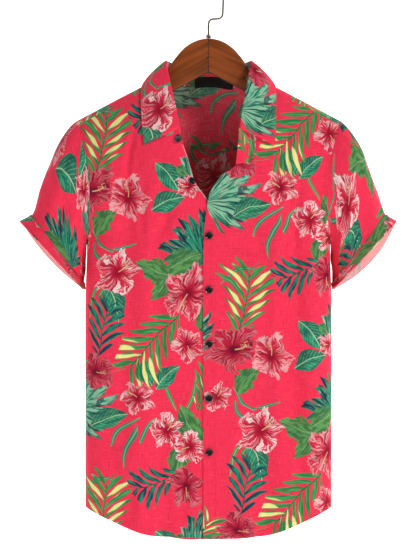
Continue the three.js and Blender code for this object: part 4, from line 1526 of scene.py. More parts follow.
@dataclass(frozen=True)
class Print:
    """The tropical print, drawn by shader nodes in a tile that repeats over the cloth.

    Places are in print units, x to the viewer's right and y down.
    """

    tile: tuple[float, float] = (160.0, 368.0)
    flowers: tuple[Motif, ...] = motifs(
        (90, 191, 20, 60, (0.2, 1.0, 1)), (128, 198, 100, 50, (0.45, 0.1, 12)),
        (189, 186, 185, 30, (0.85, 0.1, 13)), (167, 430, 60, 40, (1.0, 0.0, 14)),
        (118, 272, 40, 52, (1.0, 0.0, 2)), (188, 293, 250, 61, (0.45, 0.25, 3)),
        (95, 372, 0, 44, (0.1, 1.0, 4)), (188, 345, 300, 38, (0.6, 0.1, 5)),
        (137, 398, 150, 40, (0.8, 0.2, 6)), (190, 447, 200, 37, (1.0, 0.0, 7)),
        (186, 486, 280, 44, (0.15, 0.9, 8)), (75, 238, 60, 32, (0.7, 0.1, 9)),
    )
    fronds: tuple[Motif, ...] = motifs(
        (101, 147, 82, 74, (1.0, 0, 1)), (154, 342, 226, 78, (1.0, 0, 2)),
        (102, 332, 74, 54, (0.0, 0, 3)), (158, 481, 200, 52, (0.0, 0, 4)),
        (212, 385, 60, 60, (1.0, 0, 5)),
    )
    fans: tuple[Motif, ...] = motifs(
        (187, 239, 132, 62, (0.0, 0, 1)), (92, 405, 12, 64, (0.75, 0, 2)),
        (206, 165, 70, 56, (0.3, 0, 3)),
    )
    leaves: tuple[Motif, ...] = motifs(
        (169, 177, -50, 38, (0.0, 0, 1)), (168, 202, 22, 38, (0.0, 0, 2)),
        (114, 303, -72, 40, (0.0, 0, 3)), (147, 372, 105, 30, (0.0, 0, 4)),
        (167, 377, 42, 34, (0.0, 0, 5)), (108, 419, 18, 40, (0.1, 0, 6)),
        (155, 270, 160, 42, (1.0, 0, 7)), (183, 262, 25, 44, (1.0, 0, 8)),
        (160, 289, 235, 30, (1.0, 0, 9)), (190, 424, 120, 44, (1.0, 0, 10)),
        (180, 458, 75, 36, (1.0, 0, 11)), (104, 221, 50, 34, (1.0, 0, 12)),
        (206, 318, 100, 36, (1.0, 0, 13)), (181, 171, -20, 18, (0.8, 0, 14)),
    )
    ribbons: tuple[Motif, ...] = motifs(
        (104, 243, -38, 44, (0.0, 0.3, 1)), (99, 252, -62, 44, (0.0, 0.35, 2)),
        (122, 247, 5, 34, (0.0, 0.2, 3)), (94, 298, 60, 44, (0.9, -0.3, 4)),
        (104, 297, 68, 44, (0.9, -0.3, 5)), (124, 432, 48, 50, (0.0, -0.3, 6)),
        (133, 442, 68, 58, (0.0, -0.25, 7)), (145, 438, 66, 48, (0.0, -0.35, 8)),
        (170, 392, -76, 42, (0.8, 0.2, 9)), (190, 394, 70, 46, (0.9, 0.3, 10)),
        (96, 484, 20, 44, (0.0, -0.3, 11)),
    )

    def nearest(self, nodes: Nodes, place: Socket, motifs: tuple[Motif, ...]) -> tuple[Socket, Socket]:
        """Finds the nearest motif of a kind at each place.

        Args:
            nodes: The tree's helper.
            place: The print coordinates.
            motifs: All motifs of that kind.

        Returns:
            The place in that motif's own frame, where 1 is its length, and its look.
        """
        best = local = look = None
        for motif in motifs:
            centre = (motif.x, -motif.y, 0.0)
            high = (motif.x + self.tile[0] / 2, self.tile[1] / 2 - motif.y, 1.0)
            low = (motif.x - self.tile[0] / 2, -self.tile[1] / 2 - motif.y, -1.0)
            near = nodes.vector("WRAP", place, high, low)
            turned = (0.0, 0.0, math.radians(motif.turn))
            inputs = [(0, near), (1, centre), (2, turned), (3, (motif.size,) * 3)]
            own = nodes.add("ShaderNodeMapping", inputs, vector_type="TEXTURE").outputs[0]
            away = nodes.length(own)
            if best is None:
                best, local, look = away, own, nodes.join(*motif.look)
                continue
            closer = nodes.math("LESS_THAN", away, best)
            local = nodes.mix(closer, local, own, "VECTOR")
            look = nodes.mix(closer, look, motif.look, "VECTOR")
            best = nodes.math("MINIMUM", away, best)
        return local, look

    def flower(self, nodes: Nodes, local: Socket, look: Socket) -> tuple[Socket, Value]:
        """Draws hibiscus flowers and gives their colour and where they are.

        Args:
            nodes: The tree's helper.
            local: Places in the motif's own frame.
            look: The motif's look.

        Returns:
            The colour, and 1 where the motif shows.
        """
        white, dark, seed = nodes.split(look)
        seeded = nodes.vector("ADD", local, nodes.join(seed, seed * 1.7, seed * 3.1))
        wobble = nodes.noise(seeded, 3.2, 3) - 0.5
        x, y, _ = nodes.split(local)
        angle = nodes.math("ARCTAN2", y * 1.18, x) + wobble * 1.5
        away = nodes.length(nodes.join(x, y * 1.18))
        turn = angle * (5 / (2 * math.pi)) + 10.0
        petal = nodes.math("FRACT", turn) - 0.5
        which = nodes.chance(nodes.math("FLOOR", turn), seed)
        ruffle = nodes.noise(nodes.join(angle * 4.0, seed, away * 2.0), 2.2, 3) - 0.5
        outline = 0.39 + nodes.math("COSINE", petal * (2 * math.pi)) * 0.08 + which * 0.08 + ruffle * 0.26
        shown = nodes.step(outline - away, 0.0, 0.015)
        out = away / outline
        broad = nodes.noise(nodes.join(angle * 3.4, away * 1.5, seed), 2.3, 2)
        fine = nodes.noise(nodes.join(angle * 7.0, away * 1.7, seed + 9.0), 2.3, 2)
        lit = nodes.step(petal, -0.5, 0.0) * 0.6 + nodes.step(broad, 0.35, 0.6) * 0.4
        colour = nodes.colour(nodes.step(out, 0.0, 0.75) * lit, rgb(176, 8, 44), rgb(250, 66, 94))
        pale = nodes.step(broad * 0.6 + fine * 0.4 + out * 0.12, 0.56, 0.64) * nodes.step(out, 0.2, 0.55)
        rim = nodes.step(out, 0.86, 0.95) * nodes.step(fine, 0.4, 0.5)
        pale = nodes.math("MAXIMUM", pale, rim * 0.8) * (white * 0.72 + 0.22)
        colour = nodes.colour(pale, colour, rgb(255, 224, 222))
        vein = nodes.step(nodes.noise(nodes.join(angle * 4.4, away, seed + 5.0), 2.8, 1), 0.57, 0.62)
        edge = nodes.step(abs(petal), 0.42, 0.48) * nodes.step(out, 0.15, 0.3)
        ink = nodes.math("MINIMUM", vein * (0.45 + dark * 0.45) + edge * 0.75, 0.9)
        colour = nodes.colour(ink * nodes.step(out, 1.0, 0.9), colour, rgb(150, 6, 42))
        colour = nodes.colour(dark * 0.45, colour, rgb(150, 14, 48))
        heart = nodes.step(away, 0.13, 0.03) * (0.35 + dark * 0.55)
        colour = nodes.colour(heart, colour, rgb(92, 8, 44))
        tube = nodes.step(abs(y + nodes.math("SINE", x * 9.0) * 0.02), 0.015, 0.005)
        tube = tube * nodes.step(x, 0.0, 0.03) * nodes.step(x, 0.25, 0.21)
        anthers = nodes.step(nodes.noise(local, 40.0, 0), 0.54, 0.6) * nodes.step(abs(y), 0.05, 0.03)
        anthers = anthers * nodes.step(x, 0.12, 0.15) * nodes.step(x, 0.28, 0.25)
        colour = nodes.colour(nodes.math("MAXIMUM", tube, anthers) * 0.65, colour, rgb(246, 216, 160))
        return colour, shown

    def frond(self, nodes: Nodes, local: Socket, look: Socket) -> tuple[Socket, Value]:
        """Draws palm fronds with slanted leaflets on both sides of a stem.

        Args:
            nodes: The tree's helper.
            local: Places in the motif's own frame.
            look: The motif's look.

        Returns:
            The colour, and 1 where the motif shows.
        """
        yellow, _, seed = nodes.split(look)
        seeded = nodes.vector("ADD", local, nodes.join(seed, seed * 2.3))
        wobble = nodes.noise(seeded, 2.4, 2) - 0.5
        x, y, _ = nodes.split(local)
        y = y + nodes.math("SINE", x * 4.0 + seed) * 0.03
        side = abs(y)
        root = x + 0.5 - side * 1.25 + side * side * 1.1 + wobble * 0.03
        phase = root * (5.6 + yellow * 2.0) + nodes.math("GREATER_THAN", y, 0.0) * 0.45
        index = nodes.math("FLOOR", phase)
        offset = nodes.math("FRACT", phase) - 0.5
        across = abs(offset)
        held = nodes.math("MINIMUM", nodes.math("MAXIMUM", root, 0.0), 1.0)
        reach = (0.17 + nodes.math("SINE", held * math.pi) * 0.27) * (0.8 + nodes.chance(index, seed) * 0.35)
        along = side / reach
        width = 0.46 * (1.0 - along ** 2.4) * nodes.step(along, -0.25, 0.4)
        inside = width - across
        shown = nodes.step(inside, 0.0, 0.05) * nodes.step(root, 0.0, 0.02) * nodes.step(root, 0.97, 0.94)
        stem = nodes.step(side, 0.016, 0.008) * nodes.step(x, -0.5, -0.48) * nodes.step(x, 0.46, 0.42)
        shown = nodes.math("MAXIMUM", shown, stem)
        streak = nodes.noise(nodes.join(phase * 1.1, side * 1.6, seed), 3.2, 2)
        patches = nodes.noise(nodes.join(index * 1.7, side * 1.2, seed), 2.2, 1)
        teal = nodes.colour(nodes.step(streak, 0.4, 0.6), rgb(0, 62, 84), rgb(8, 140, 108))
        teal = nodes.colour(nodes.step(streak, 0.62, 0.78) * 0.7, teal, rgb(120, 190, 160))
        green = nodes.colour(nodes.step(streak, 0.35, 0.65), rgb(28, 128, 70), rgb(74, 172, 96))
        middle = nodes.step(held, 0.1, 0.3) * nodes.step(held, 0.95, 0.75)
        light = nodes.step(patches + offset * 0.35 + middle * 0.1, 0.6, 0.65)
        light = light * nodes.step(inside, 0.06, 0.13) * nodes.step(along, 0.95, 0.8)
        green = nodes.colour(light, green, rgb(243, 238, 150))
        colour = nodes.colour(yellow, teal, green)
        line = nodes.step(inside, 0.1, 0.02) * 0.6
        return nodes.colour(line, colour, rgb(12, 82, 62)), shown

    def fan(self, nodes: Nodes, local: Socket, look: Socket) -> tuple[Socket, Value]:
        """Draws fan leaves, whose strips part from one another towards their ends.

        Args:
            nodes: The tree's helper.
            local: Places in the motif's own frame.
            look: The motif's look.

        Returns:
            The colour, and 1 where the motif shows.
        """
        pale, _, seed = nodes.split(look)
        x, y, _ = nodes.split(local)
        x = x + 0.5
        wobble = nodes.noise(nodes.vector("ADD", local, nodes.join(seed, seed)), 1.6, 1) - 0.5
        angle = nodes.math("ARCTAN2", y, x) + wobble * 0.12
        away = nodes.length(nodes.join(x, y))
        phase = angle * 4.4 + 20.0 + away * 0.4
        index = nodes.math("FLOOR", phase)
        across = nodes.math("FRACT", phase) - 0.5
        chance = nodes.chance(index, seed)
        notch = nodes.chance(nodes.math("FLOOR", phase * 2.0), seed + 3.0)
        reach = nodes.math("COSINE", angle * 0.8) * (0.78 + chance * 0.25) + across * 0.2 - notch * 0.12
        width = 0.6 - nodes.step(away, 0.3, 1.0) * 0.26
        inside = width - abs(across)
        shown = nodes.step(inside, 0.0, 0.04) * nodes.step(reach - away, 0.0, 0.02)
        shown = shown * nodes.step(abs(angle), 1.32, 1.26)
        streak = nodes.noise(nodes.join(angle * 4.2, away * 0.9, seed), 3.2, 2)
        band = nodes.noise(nodes.join(angle * 2.0, away * 2.6, seed + 4.0), 2.2, 2)
        light = nodes.colour(nodes.step(streak, 0.42, 0.5), rgb(6, 126, 100), rgb(138, 200, 164))
        deep = nodes.colour(nodes.step(streak, 0.42, 0.5), rgb(0, 56, 78), rgb(10, 142, 110))
        split = nodes.step(band * 0.7 + across * 0.5 + (pale - 0.5) * 0.55, 0.3, 0.38)
        colour = nodes.colour(split, deep, light)
        vein = nodes.step(abs(across + 0.2), 0.05, 0.02) * (0.3 + pale * 0.4)
        colour = nodes.colour(vein, colour, rgb(176, 216, 176))
        dash = nodes.step(nodes.noise(nodes.join(angle * 5.0, away * 3.2, seed + 7.0), 2.6, 1), 0.56, 0.62)
        tip = nodes.step(reach - away, 0.13, 0.03) * chance
        dark = nodes.math("MAXIMUM", dash * nodes.step(away, 0.3, 0.55) * 0.8, tip * 0.8)
        line = nodes.math("MAXIMUM", nodes.step(inside, 0.09, 0.02) * 0.7, dark)
        return nodes.colour(line, colour, rgb(0, 50, 66)), shown

    def leaf(self, nodes: Nodes, local: Socket, look: Socket) -> tuple[Socket, Value]:
        """Draws pointed leaves with veins, smooth and emerald or ragged and olive.

        Args:
            nodes: The tree's helper.
            local: Places in the motif's own frame.
            look: The motif's look.

        Returns:
            The colour, and 1 where the motif shows.
        """
        olive, _, seed = nodes.split(look)
        seeded = nodes.vector("ADD", local, nodes.join(seed, seed * 1.3))
        x, y, _ = nodes.split(local)
        y = y + x * x * 0.25 - 0.03
        ragged = (nodes.noise(seeded, 7.0, 3) - 0.5) * (0.05 + olive * 0.38)
        end = 1.0 - nodes.math("MINIMUM", abs(x) * 2.0, 1.0) ** 1.7
        width = 0.25 * (end ** 0.85) * (1.15 - x * 0.5) + ragged * end
        inside = width - abs(y)
        shown = nodes.step(inside, 0.0, 0.012)
        tone = nodes.noise(seeded, 4.0, 3, (1.0, 3.0, 1.0))
        emerald = nodes.colour(nodes.step(tone, 0.38, 0.62), rgb(0, 112, 92), rgb(22, 160, 118))
        dull = nodes.colour(nodes.step(tone, 0.4, 0.6), rgb(52, 120, 66), rgb(88, 158, 86))
        colour = nodes.colour(olive, emerald, dull)
        half = nodes.step(y, 0.0, 0.02) * (0.45 - olive * 0.25)
        colour = nodes.colour(half, colour, rgb(0, 78, 74))
        rib = nodes.step(abs(y), 0.014, 0.005)
        side = abs(nodes.math("FRACT", (x - abs(y) * 1.15) * 9.0 + 10.0) - 0.5)
        veins = nodes.math("MAXIMUM", rib, nodes.step(side, 0.1, 0.03) * nodes.step(tone, 0.3, 0.6) * 0.5)
        colour = nodes.colour(veins * (0.85 - olive * 0.55), colour, rgb(196, 226, 170))
        line = nodes.step(inside, 0.022, 0.006) * 0.55
        return nodes.colour(line, colour, rgb(8, 74, 60)), shown

    def ribbon(self, nodes: Nodes, local: Socket, look: Socket) -> tuple[Socket, Value]:
        """Draws long curved grass blades.

        Args:
            nodes: The tree's helper.
            local: Places in the motif's own frame.
            look: The motif's look.

        Returns:
            The colour, and 1 where the motif shows.
        """
        olive, bow, seed = nodes.split(look)
        x, y, _ = nodes.split(local)
        sway = nodes.math("SINE", x * 7.0 + seed) * 0.03
        y = y - bow * (x * x * 4.0 - 0.5) * 0.5 + sway
        end = nodes.math("MAXIMUM", 1.0 - x * x * 4.0, 0.0)
        inside = (end ** 0.7) * 0.055 - abs(y)
        shown = nodes.step(inside, 0.0, 0.012)
        colour = nodes.colour(olive, rgb(10, 138, 104), rgb(70, 152, 82))
        colour = nodes.colour(nodes.step(abs(y), 0.016, 0.006) * 0.5, colour, rgb(176, 214, 160))
        line = nodes.step(inside, 0.02, 0.008) * 0.5
        return nodes.colour(line, colour, rgb(8, 84, 66)), shown

    def draw(self, nodes: Nodes, place: Socket, ground: Socket) -> Socket:
        """Lays all kinds of motif over the ground colour, the flowers last.

        Args:
            nodes: The tree's helper.
            place: The print coordinates.
            ground: The cloth's own colour.

        Returns:
            The printed colour.
        """
        layers = (
            (self.ribbon, self.ribbons),
            (self.fan, self.fans),
            (self.leaf, self.leaves),
            (self.frond, self.fronds),
            (self.flower, self.flowers),
        )
        colour = ground
        for kind, group in layers:
            local, look = self.nearest(nodes, place, group)
            drawn, shown = kind(nodes, local, look)
            colour = nodes.colour(shown, colour, drawn)
        return colour


@dataclass(frozen=True)
class PrintedCloth:
    """Coral slub-weave cotton with the tropical print, paler on its wrong side; raw strips get a painted
    highlight.
    """

    print: Print = Print()
    roughness: float = 0.88
    sheen: float = 0.06
    gloss: float = 0.12
    coral: tuple = (250, 52, 84)
    slub_dark: tuple = (214, 22, 56)
    slub_light: tuple = (255, 118, 134)
    faded: tuple = (246, 206, 200)

    def material(self) -> bpy.types.Material:
        """Builds the material and gives it.

        Returns:
            The material.
        """
        shader = Shader("printed_cloth")
        nodes = shader.nodes
        uv = nodes.add("ShaderNodeUVMap", uv_map="Cloth").outputs[0]
        warp = nodes.noise(uv, 1.0, 3, (1.1, 0.1, 1.0))
        weft = nodes.noise(uv, 1.0, 3, (0.08, 1.1, 1.0))
        blotch = nodes.noise(uv, 0.06, 2)
        low = nodes.step(nodes.math("MAXIMUM", warp, weft), 0.62, 0.76)
        high = nodes.step(nodes.math("MINIMUM", warp, weft), 0.42, 0.3)
        ground = nodes.colour(low * 0.42, rgb(*self.coral), rgb(*self.slub_dark))
        ground = nodes.colour(high * 0.2, ground, rgb(*self.slub_light))
        drift = nodes.add("ShaderNodeTexNoise", [("Vector", uv), ("Scale", 0.05), ("Detail", 1.0)])
        bent = nodes.vector("SUBTRACT", drift.outputs[1], (0.5, 0.5, 0.5))
        bent = nodes.vector("MULTIPLY", bent, (5.0, 5.0, 0.0))
        place = nodes.vector("MULTIPLY", nodes.vector("ADD", uv, bent), (1.0, 1.0, 0.0))
        colour = self.print.draw(nodes, place, ground)
        thread = nodes.step(nodes.math("MAXIMUM", warp, weft), 0.5, 0.74)
        tone = nodes.colour(thread * 0.16 + blotch * 0.06, colour, rgb(150, 10, 40))
        wrong = nodes.attribute("wrong_side")
        slubs = nodes.step(nodes.math("MAXIMUM", warp, weft), 0.56, 0.7)
        # Rows marked 2 (the sleeve mouths and the right front's curled edge) take a further half of the pale
        # colour: partly the raw side's own pallor, partly a painted highlight.
        fade = nodes.math("MINIMUM", wrong, 1.0) * (0.05 + slubs * 0.3) + nodes.step(wrong, 1.1, 1.8) * 0.5
        tone = nodes.colour(fade, tone, rgb(*self.faded))
        seam = nodes.attribute("seam")
        pucker = nodes.noise(uv, 0.55, 1) * nodes.step(seam, 7.0, 0.0)
        groove = nodes.step(seam, 1.3, 0.2)
        height = (warp + weft) * 0.25 + pucker * 1.1 - groove * 0.8
        linked = {"Base Color": tone, "Normal": nodes.bump(height, 0.6, 0.0006)}
        plain = {"Roughness": self.roughness, "Sheen_Weight": self.sheen}
        return shader.finish(linked, Specular_IOR_Level=self.gloss, **plain)


@dataclass(frozen=True)
class VarnishedWood:
    """Brown wood with long grain, two dark knots, satin varnish and painted shade where it turns from the
    front.
    """

    shift: float = 0.0
    light: tuple = (156, 77, 23)
    dark: tuple = (98, 44, 13)
    # The dark colour of the knots and the joint, also used for the painted shade on the turned faces.
    knot_joint_and_shade: tuple = (48, 18, 8)
    slant: float = 0.0
    knots: tuple = ()

    def material(self, name: str) -> bpy.types.Material:
        """Builds the material and gives it.

        Args:
            name: Its name.

        Returns:
            The material.
        """
        shader = Shader(name)
        nodes = shader.nodes
        place = nodes.add("ShaderNodeTexCoord").outputs["Object"]
        inputs = [(0, place), (1, (self.shift, 0, 0)), (2, (0, self.slant, 0)), (3, (1000.0,) * 3)]
        own = nodes.add("ShaderNodeMapping", inputs).outputs[0]
        cloud = nodes.noise(own, 1.0, 2, (0.012, 0.03, 0.03))
        grain = nodes.noise(own, 1.0, 4, (0.007, 0.14, 0.14))
        fibre = nodes.noise(own, 1.0, 3, (0.02, 0.9, 0.9))
        shade = nodes.step(grain * 0.6 + cloud * 0.4, 0.38, 0.64) * 0.75 + fibre * 0.25
        colour = nodes.colour(shade, rgb(*self.light), rgb(*self.dark))
        for knot_x, knot_z, radius in self.knots:
            spot = nodes.vector("SUBTRACT", place, (knot_x * MILLIMETRE, 0.0, knot_z * MILLIMETRE))
            spot = nodes.vector("MULTIPLY", spot, (1000.0, 0.0, 1000.0))
            away = nodes.length(spot) + nodes.noise(own, 0.3, 2) * 2.0
            ring = nodes.step(away, radius * 1.5, radius * 0.5)
            colour = nodes.colour(ring * 0.9, colour, rgb(*self.knot_joint_and_shade))
        # Painted shade: the board's top and bottom faces, which turn away from the front, are painted towards
        # the dark colour; the dark line at the joint is the joint's own colour.
        edge = nodes.attribute("edge")
        joint = nodes.step(abs(nodes.split(place)[0]), 1.2 * MILLIMETRE, 0.3 * MILLIMETRE)
        colour = nodes.colour(nodes.math("MAXIMUM", edge * 0.75, joint * 0.85), colour, rgb(*self.knot_joint_and_shade))
        wear = nodes.noise(own, 0.07, 3)
        relief = nodes.bump(fibre, 0.25, 0.0003)
        linked = {"Base Color": colour, "Roughness": 0.3 + wear * 0.2, "Normal": relief}
        return shader.finish(linked, Specular_IOR_Level=0.3, Coat_Weight=0.15, Coat_Roughness=0.25)


@dataclass(frozen=True)
class PlainFinish:
    """A finish of one colour with fine speckle, changing roughness and a little bump."""

    name: str
    colour: tuple
    other: tuple
    roughness: float
    metallic: float = 0.0
    scale: float = 900.0
    stretch: tuple = (1.0, 1.0, 1.0)
    bump: float = 0.1
    coat: float = 0.0

    def material(self) -> bpy.types.Material:
        """Builds the material and gives it.

        Returns:
            The material.
        """
        shader = Shader(self.name)
        nodes = shader.nodes
        place = nodes.add("ShaderNodeTexCoord").outputs["Object"]
        speckle = nodes.noise(place, self.scale, 3, self.stretch)
        cloudy = nodes.noise(place, self.scale / 9, 2)
        colour = nodes.colour(speckle * 0.7 + cloudy * 0.3, rgb(*self.colour), rgb(*self.other))
        relief = nodes.bump(speckle, self.bump, 0.0002)
        roughness = self.roughness + (cloudy - 0.5) * 0.2
        linked = {"Base Color": colour, "Roughness": roughness, "Normal": relief}
        return shader.finish(linked, Metallic=self.metallic, Coat_Weight=self.coat)


class Stitcher:
    """Lays stitches along lines with one Geometry Nodes tree."""

    def __init__(
        self, thread: bpy.types.Material, length: float = 2.6, gap: float = 0.7, thickness: float = 0.42
    ) -> None:
        """Keeps the thread's material and a stitch's sizes in millimetres, and builds the tree.

        Args:
            thread: The thread's material.
            length: A stitch's length.
            gap: The way between stitches.
            thickness: A stitch's thickness.
        """
        self.thread = thread
        self.pitch = length + gap
        self.length = length
        self.thickness = thickness
        self.tree = self.build_tree()

    def build_tree(self) -> bpy.types.NodeTree:
        """Builds the tree: points along the curve, a stitch on each, realised, with its material.

        Returns:
            The tree.
        """
        tree = bpy.data.node_groups.new("stitches_along_lines", "GeometryNodeTree")
        face = tree.interface
        face.new_socket(name="Geometry", in_out="INPUT", socket_type="NodeSocketGeometry")
        for name in ("Pitch", "Stitch Length", "Stitch Radius"):
            face.new_socket(name=name, in_out="INPUT", socket_type="NodeSocketFloat")
        face.new_socket(name="Thread", in_out="INPUT", socket_type="NodeSocketMaterial")
        face.new_socket(name="Geometry", in_out="OUTPUT", socket_type="NodeSocketGeometry")
        nodes, link = tree.nodes, tree.links.new
        start, end = nodes.new("NodeGroupInput"), nodes.new("NodeGroupOutput")
        curve = nodes.new("GeometryNodeMeshToCurve")
        points = nodes.new("GeometryNodeCurveToPoints")
        points.mode = "LENGTH"
        bar = nodes.new("GeometryNodeMeshCylinder")
        bar.inputs["Vertices"].default_value = 6
        place = nodes.new("GeometryNodeInstanceOnPoints")
        realise = nodes.new("GeometryNodeRealizeInstances")
        paint = nodes.new("GeometryNodeSetMaterial")
        link(start.outputs["Geometry"], curve.inputs[0])
        link(curve.outputs[0], points.inputs[0])
        link(start.outputs["Pitch"], points.inputs["Length"])
        link(start.outputs["Stitch Radius"], bar.inputs["Radius"])
        link(start.outputs["Stitch Length"], bar.inputs["Depth"])
        link(points.outputs["Points"], place.inputs["Points"])
        link(points.outputs["Rotation"], place.inputs["Rotation"])
        link(bar.outputs["Mesh"], place.inputs["Instance"])
        link(place.outputs[0], realise.inputs[0])
        link(realise.outputs[0], paint.inputs[0])
        link(start.outputs["Thread"], paint.inputs["Material"])
        link(paint.outputs[0], end.inputs[0])
        return tree

    def sew(self, name: str, lines: list[Array]) -> bpy.types.Object:
        """Makes the stitches of several lines as one plain mesh.

        Args:
            name: The piece's name.
            lines: Each an array of points in millimetres.

        Returns:
            The mesh object.
        """
        vertices = np.concatenate(lines) * MILLIMETRE
        edges, first = [], 0
        for line in lines:
            edges += [(first + i, first + i + 1) for i in range(len(line) - 1)]
            first += len(line)
        mesh = bpy.data.meshes.new(name + "_lines")
        mesh.from_pydata(vertices.tolist(), edges, [])
        holder = add_object(name + "_lines", mesh)
        modifier = holder.modifiers.new("stitches", "NODES")
        modifier.node_group = self.tree
        values = {
            "Pitch": self.pitch * MILLIMETRE,
            "Stitch Length": self.length * MILLIMETRE,
            "Stitch Radius": self.thickness / 2 * MILLIMETRE,
            "Thread": self.thread,
        }
        for item in self.tree.interface.items_tree:
            if item.in_out == "INPUT" and item.name in values:
                modifier[item.identifier] = values[item.name]
        plain = plain_mesh(holder)
        plain.name = name
        plain.shade_smooth()
        plain.set_sharp_from_angle(angle=math.radians(50))
        return add_object(name, plain)


def finish_piece(
    made: bpy.types.Object, material: bpy.types.Material | None, slot: str, *nodes: str
) -> bpy.types.Object:
    """Gives a piece its material and ties it to the frame.

    Args:
        made: The object.
        material: Its material, or None where it has one.
        slot: The record's material slot; not used.
        nodes: The CAD nodes it stands for.

    Returns:
        The object.
    """
    if material is not None:
        made.data.materials.clear()
        made.data.materials.append(material)
    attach(made, "root")
    if nodes:
        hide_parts(*nodes)
    log.info("%s: %d faces", made.name, len(made.data.polygons))
    return made


@dataclass(frozen=True)
class Cut:
    """The flat cut of what shows of a cloth piece, in metres and square metres."""

    width: float
    length: float
    area: float

    def declare(self, made: bpy.types.Object, measured: float, rests_on: tuple = ()) -> None:
        log.info("%s: cut %.4f m2, built %.4f m2", made.name, self.area, measured)


@dataclass
class Shirt:
    """All cloth pieces of the shirt, their stitches, label and buttons."""

    form: BodyForm
    cloth: bpy.types.Material
    stitcher: Stitcher
    edge_stitch: float = 5.0
    yoke_stitch: float = 3.0
    cuff_stitch: float = 2.5
    cuff_start: float = 0.84
    cuff_inside: float = 0.4
    cuff_outside: float = 2.0
    cuff_shift: tuple[float, float] = (38.0, 66.0)

    def __post_init__(self) -> None:
        """Makes the forms that the pieces share."""
        self.edges = FrontEdges(self.form)
        self.lines = CollarForm(self.form)
        self.panels = Panels(self.form, self.edges, self.lines)

    def build_fronts(self) -> None:
        """Builds both fronts."""
        cuts = {Side.LEFT: Cut(0.25, 0.72, 0.1484), Side.RIGHT: Cut(0.255, 0.72, 0.1503)}
        for side in Side:
            sheet = self.panels.front(side).with_allowance(WAIST)
            inner = sheet.moved(-self.panels.thickness(side, sheet), WAIST)
            name = f"front_{side.name.lower()}"
            # The right front's curled edge gets the pale raw colour with a painted highlight.
            curled = (0, slice(76, 100), slice(0, 1)) if side is Side.RIGHT else None
            made = shell("cloth_" + name, sheet, sheet.points, inner, curled)
            finish_piece(made, self.cloth, "printed_cloth", name)
            cuts[side].declare(made, sheet.area(), ("cloth_yoke",))
            face = sheet.raised(STITCH_LIFT, WAIST)
            lines = [face.beside("bottom", self.panels.hem_stitch)]
            lines.append(face.beside("last", self.edge_stitch, 5, 68))
            if side is Side.LEFT:
                lines.append(face.beside("first", self.panels.band_stitch, 76))
            self.sew("stitches_" + name, *lines)

    def build_back(self) -> None:
        """Builds the back."""
        sheet = self.panels.back().with_allowance(WAIST)
        inner = sheet.moved(-self.panels.thickness(None, sheet), WAIST)
        made = shell("cloth_back", sheet, sheet.points, inner)
        finish_piece(made, self.cloth, "printed_cloth", "back")
        Cut(0.50, 0.64, 0.285).declare(made, sheet.area(), ("cloth_yoke",))
        face = sheet.raised(STITCH_LIFT, WAIST)
        sides = [face.beside(edge, self.edge_stitch, 4, 52) for edge in ("first", "last")]
        self.sew("stitches_back", face.beside("bottom", self.panels.hem_stitch), *sides)

    def build_yoke(self) -> None:
        """Builds the yoke."""
        sheet = Yoke(self.form, self.lines).sheet()
        made = shell("cloth_yoke", sheet, sheet.points, sheet.moved(-CLOTH, CHEST))
        finish_piece(made, self.cloth, "printed_cloth", "yoke")
        Cut(0.45, 0.16, 0.049).declare(made, sheet.area(), ("wood_left", "wood_right"))
        face = sheet.raised(STITCH_LIFT, CHEST)
        self.sew("stitches_yoke", face.beside("bottom", self.yoke_stitch))

    def build_collar(self) -> None:
        """Builds the stand and the leaf."""
        collar = Collar(self.lines)
        stand = collar.stand()
        made = shell("cloth_stand", stand, stand.points, stand.moved(-collar.band, NECK))
        finish_piece(made, self.cloth, "printed_cloth", "collar_stand")
        Cut(0.47, 0.06, 0.0123).declare(made, stand.area(), ("cloth_yoke",))
        leaf = collar.leaf()
        made = shell("cloth_leaf", leaf, leaf.points, leaf.moved(-collar.cloth, BELOW))
        finish_piece(made, self.cloth, "printed_cloth", "collar_leaf")
        Cut(0.5, 0.1, 0.0283).declare(made, leaf.area(), ("cloth_stand",))
        face = leaf.raised(STITCH_LIFT, BELOW)
        ends = [face.beside(edge, collar.stitch, 14, -3) for edge in ("first", "last")]
        self.sew("stitches_collar", face.beside("bottom", collar.stitch, 4, -4), *ends)

    def build_sleeves(self) -> None:
        """Builds the sleeves and their turned-up cuffs."""
        shifts = {Side.LEFT: (-29.0, -69.0), Side.RIGHT: (75.0, -6.0)}
        for side in Side:
            sleeve = Sleeve(self.form, side, print_shift=shifts[side])
            name = side.name.lower()
            sheet = sleeve.sheet(0, 1, 64)
            middle = sheet.points[32].mean(axis=0)
            sheet = sheet.with_allowance(sheet.points[0].mean(axis=0))
            # The inner rows at the sleeve's mouth get the pale raw colour with a painted highlight.
            mouth = (1, slice(-6, None), slice(None))
            made = shell("cloth_sleeve_" + name, sheet, sheet.points, sheet.moved(-CLOTH, middle), mouth)
            finish_piece(made, self.cloth, "printed_cloth", "sleeve_" + name)
            Cut(0.40, 0.165, 0.047).declare(made, sheet.area(), ("cloth_yoke",))
            turned = sleeve.sheet(self.cuff_start, 1, 14)
            inner, outer = (turned.moved(way, middle) for way in (self.cuff_inside, self.cuff_outside))
            turned = Sheet(turned.points, turned.flat + self.cuff_shift, turned.seam, True)
            made = shell("cloth_cuff_" + name, turned, outer, inner)
            finish_piece(made, self.cloth, "printed_cloth", "cuff_" + name)
            Cut(0.27, 0.026, 0.0064).declare(made, turned.area(), ("cloth_sleeve_" + name,))
            face = turned.raised(self.cuff_outside + STITCH_LIFT, middle)
            lines = [face.beside(edge, self.cuff_stitch) for edge in ("top", "bottom")]
            self.sew("stitches_cuff_" + name, *lines)

    def build_label(self) -> None:
        """Builds the neck label."""
        sheet = Label(self.lines).sheet()
        made = shell("neck_label", sheet, sheet.points, sheet.moved(0.7, NECK))
        finish = PlainFinish("black_label", (5, 5, 6), (16, 16, 17), 0.85, scale=2600.0, stretch=(1, 1, 4))
        finish_piece(made, finish.material(), "black_label", "label")

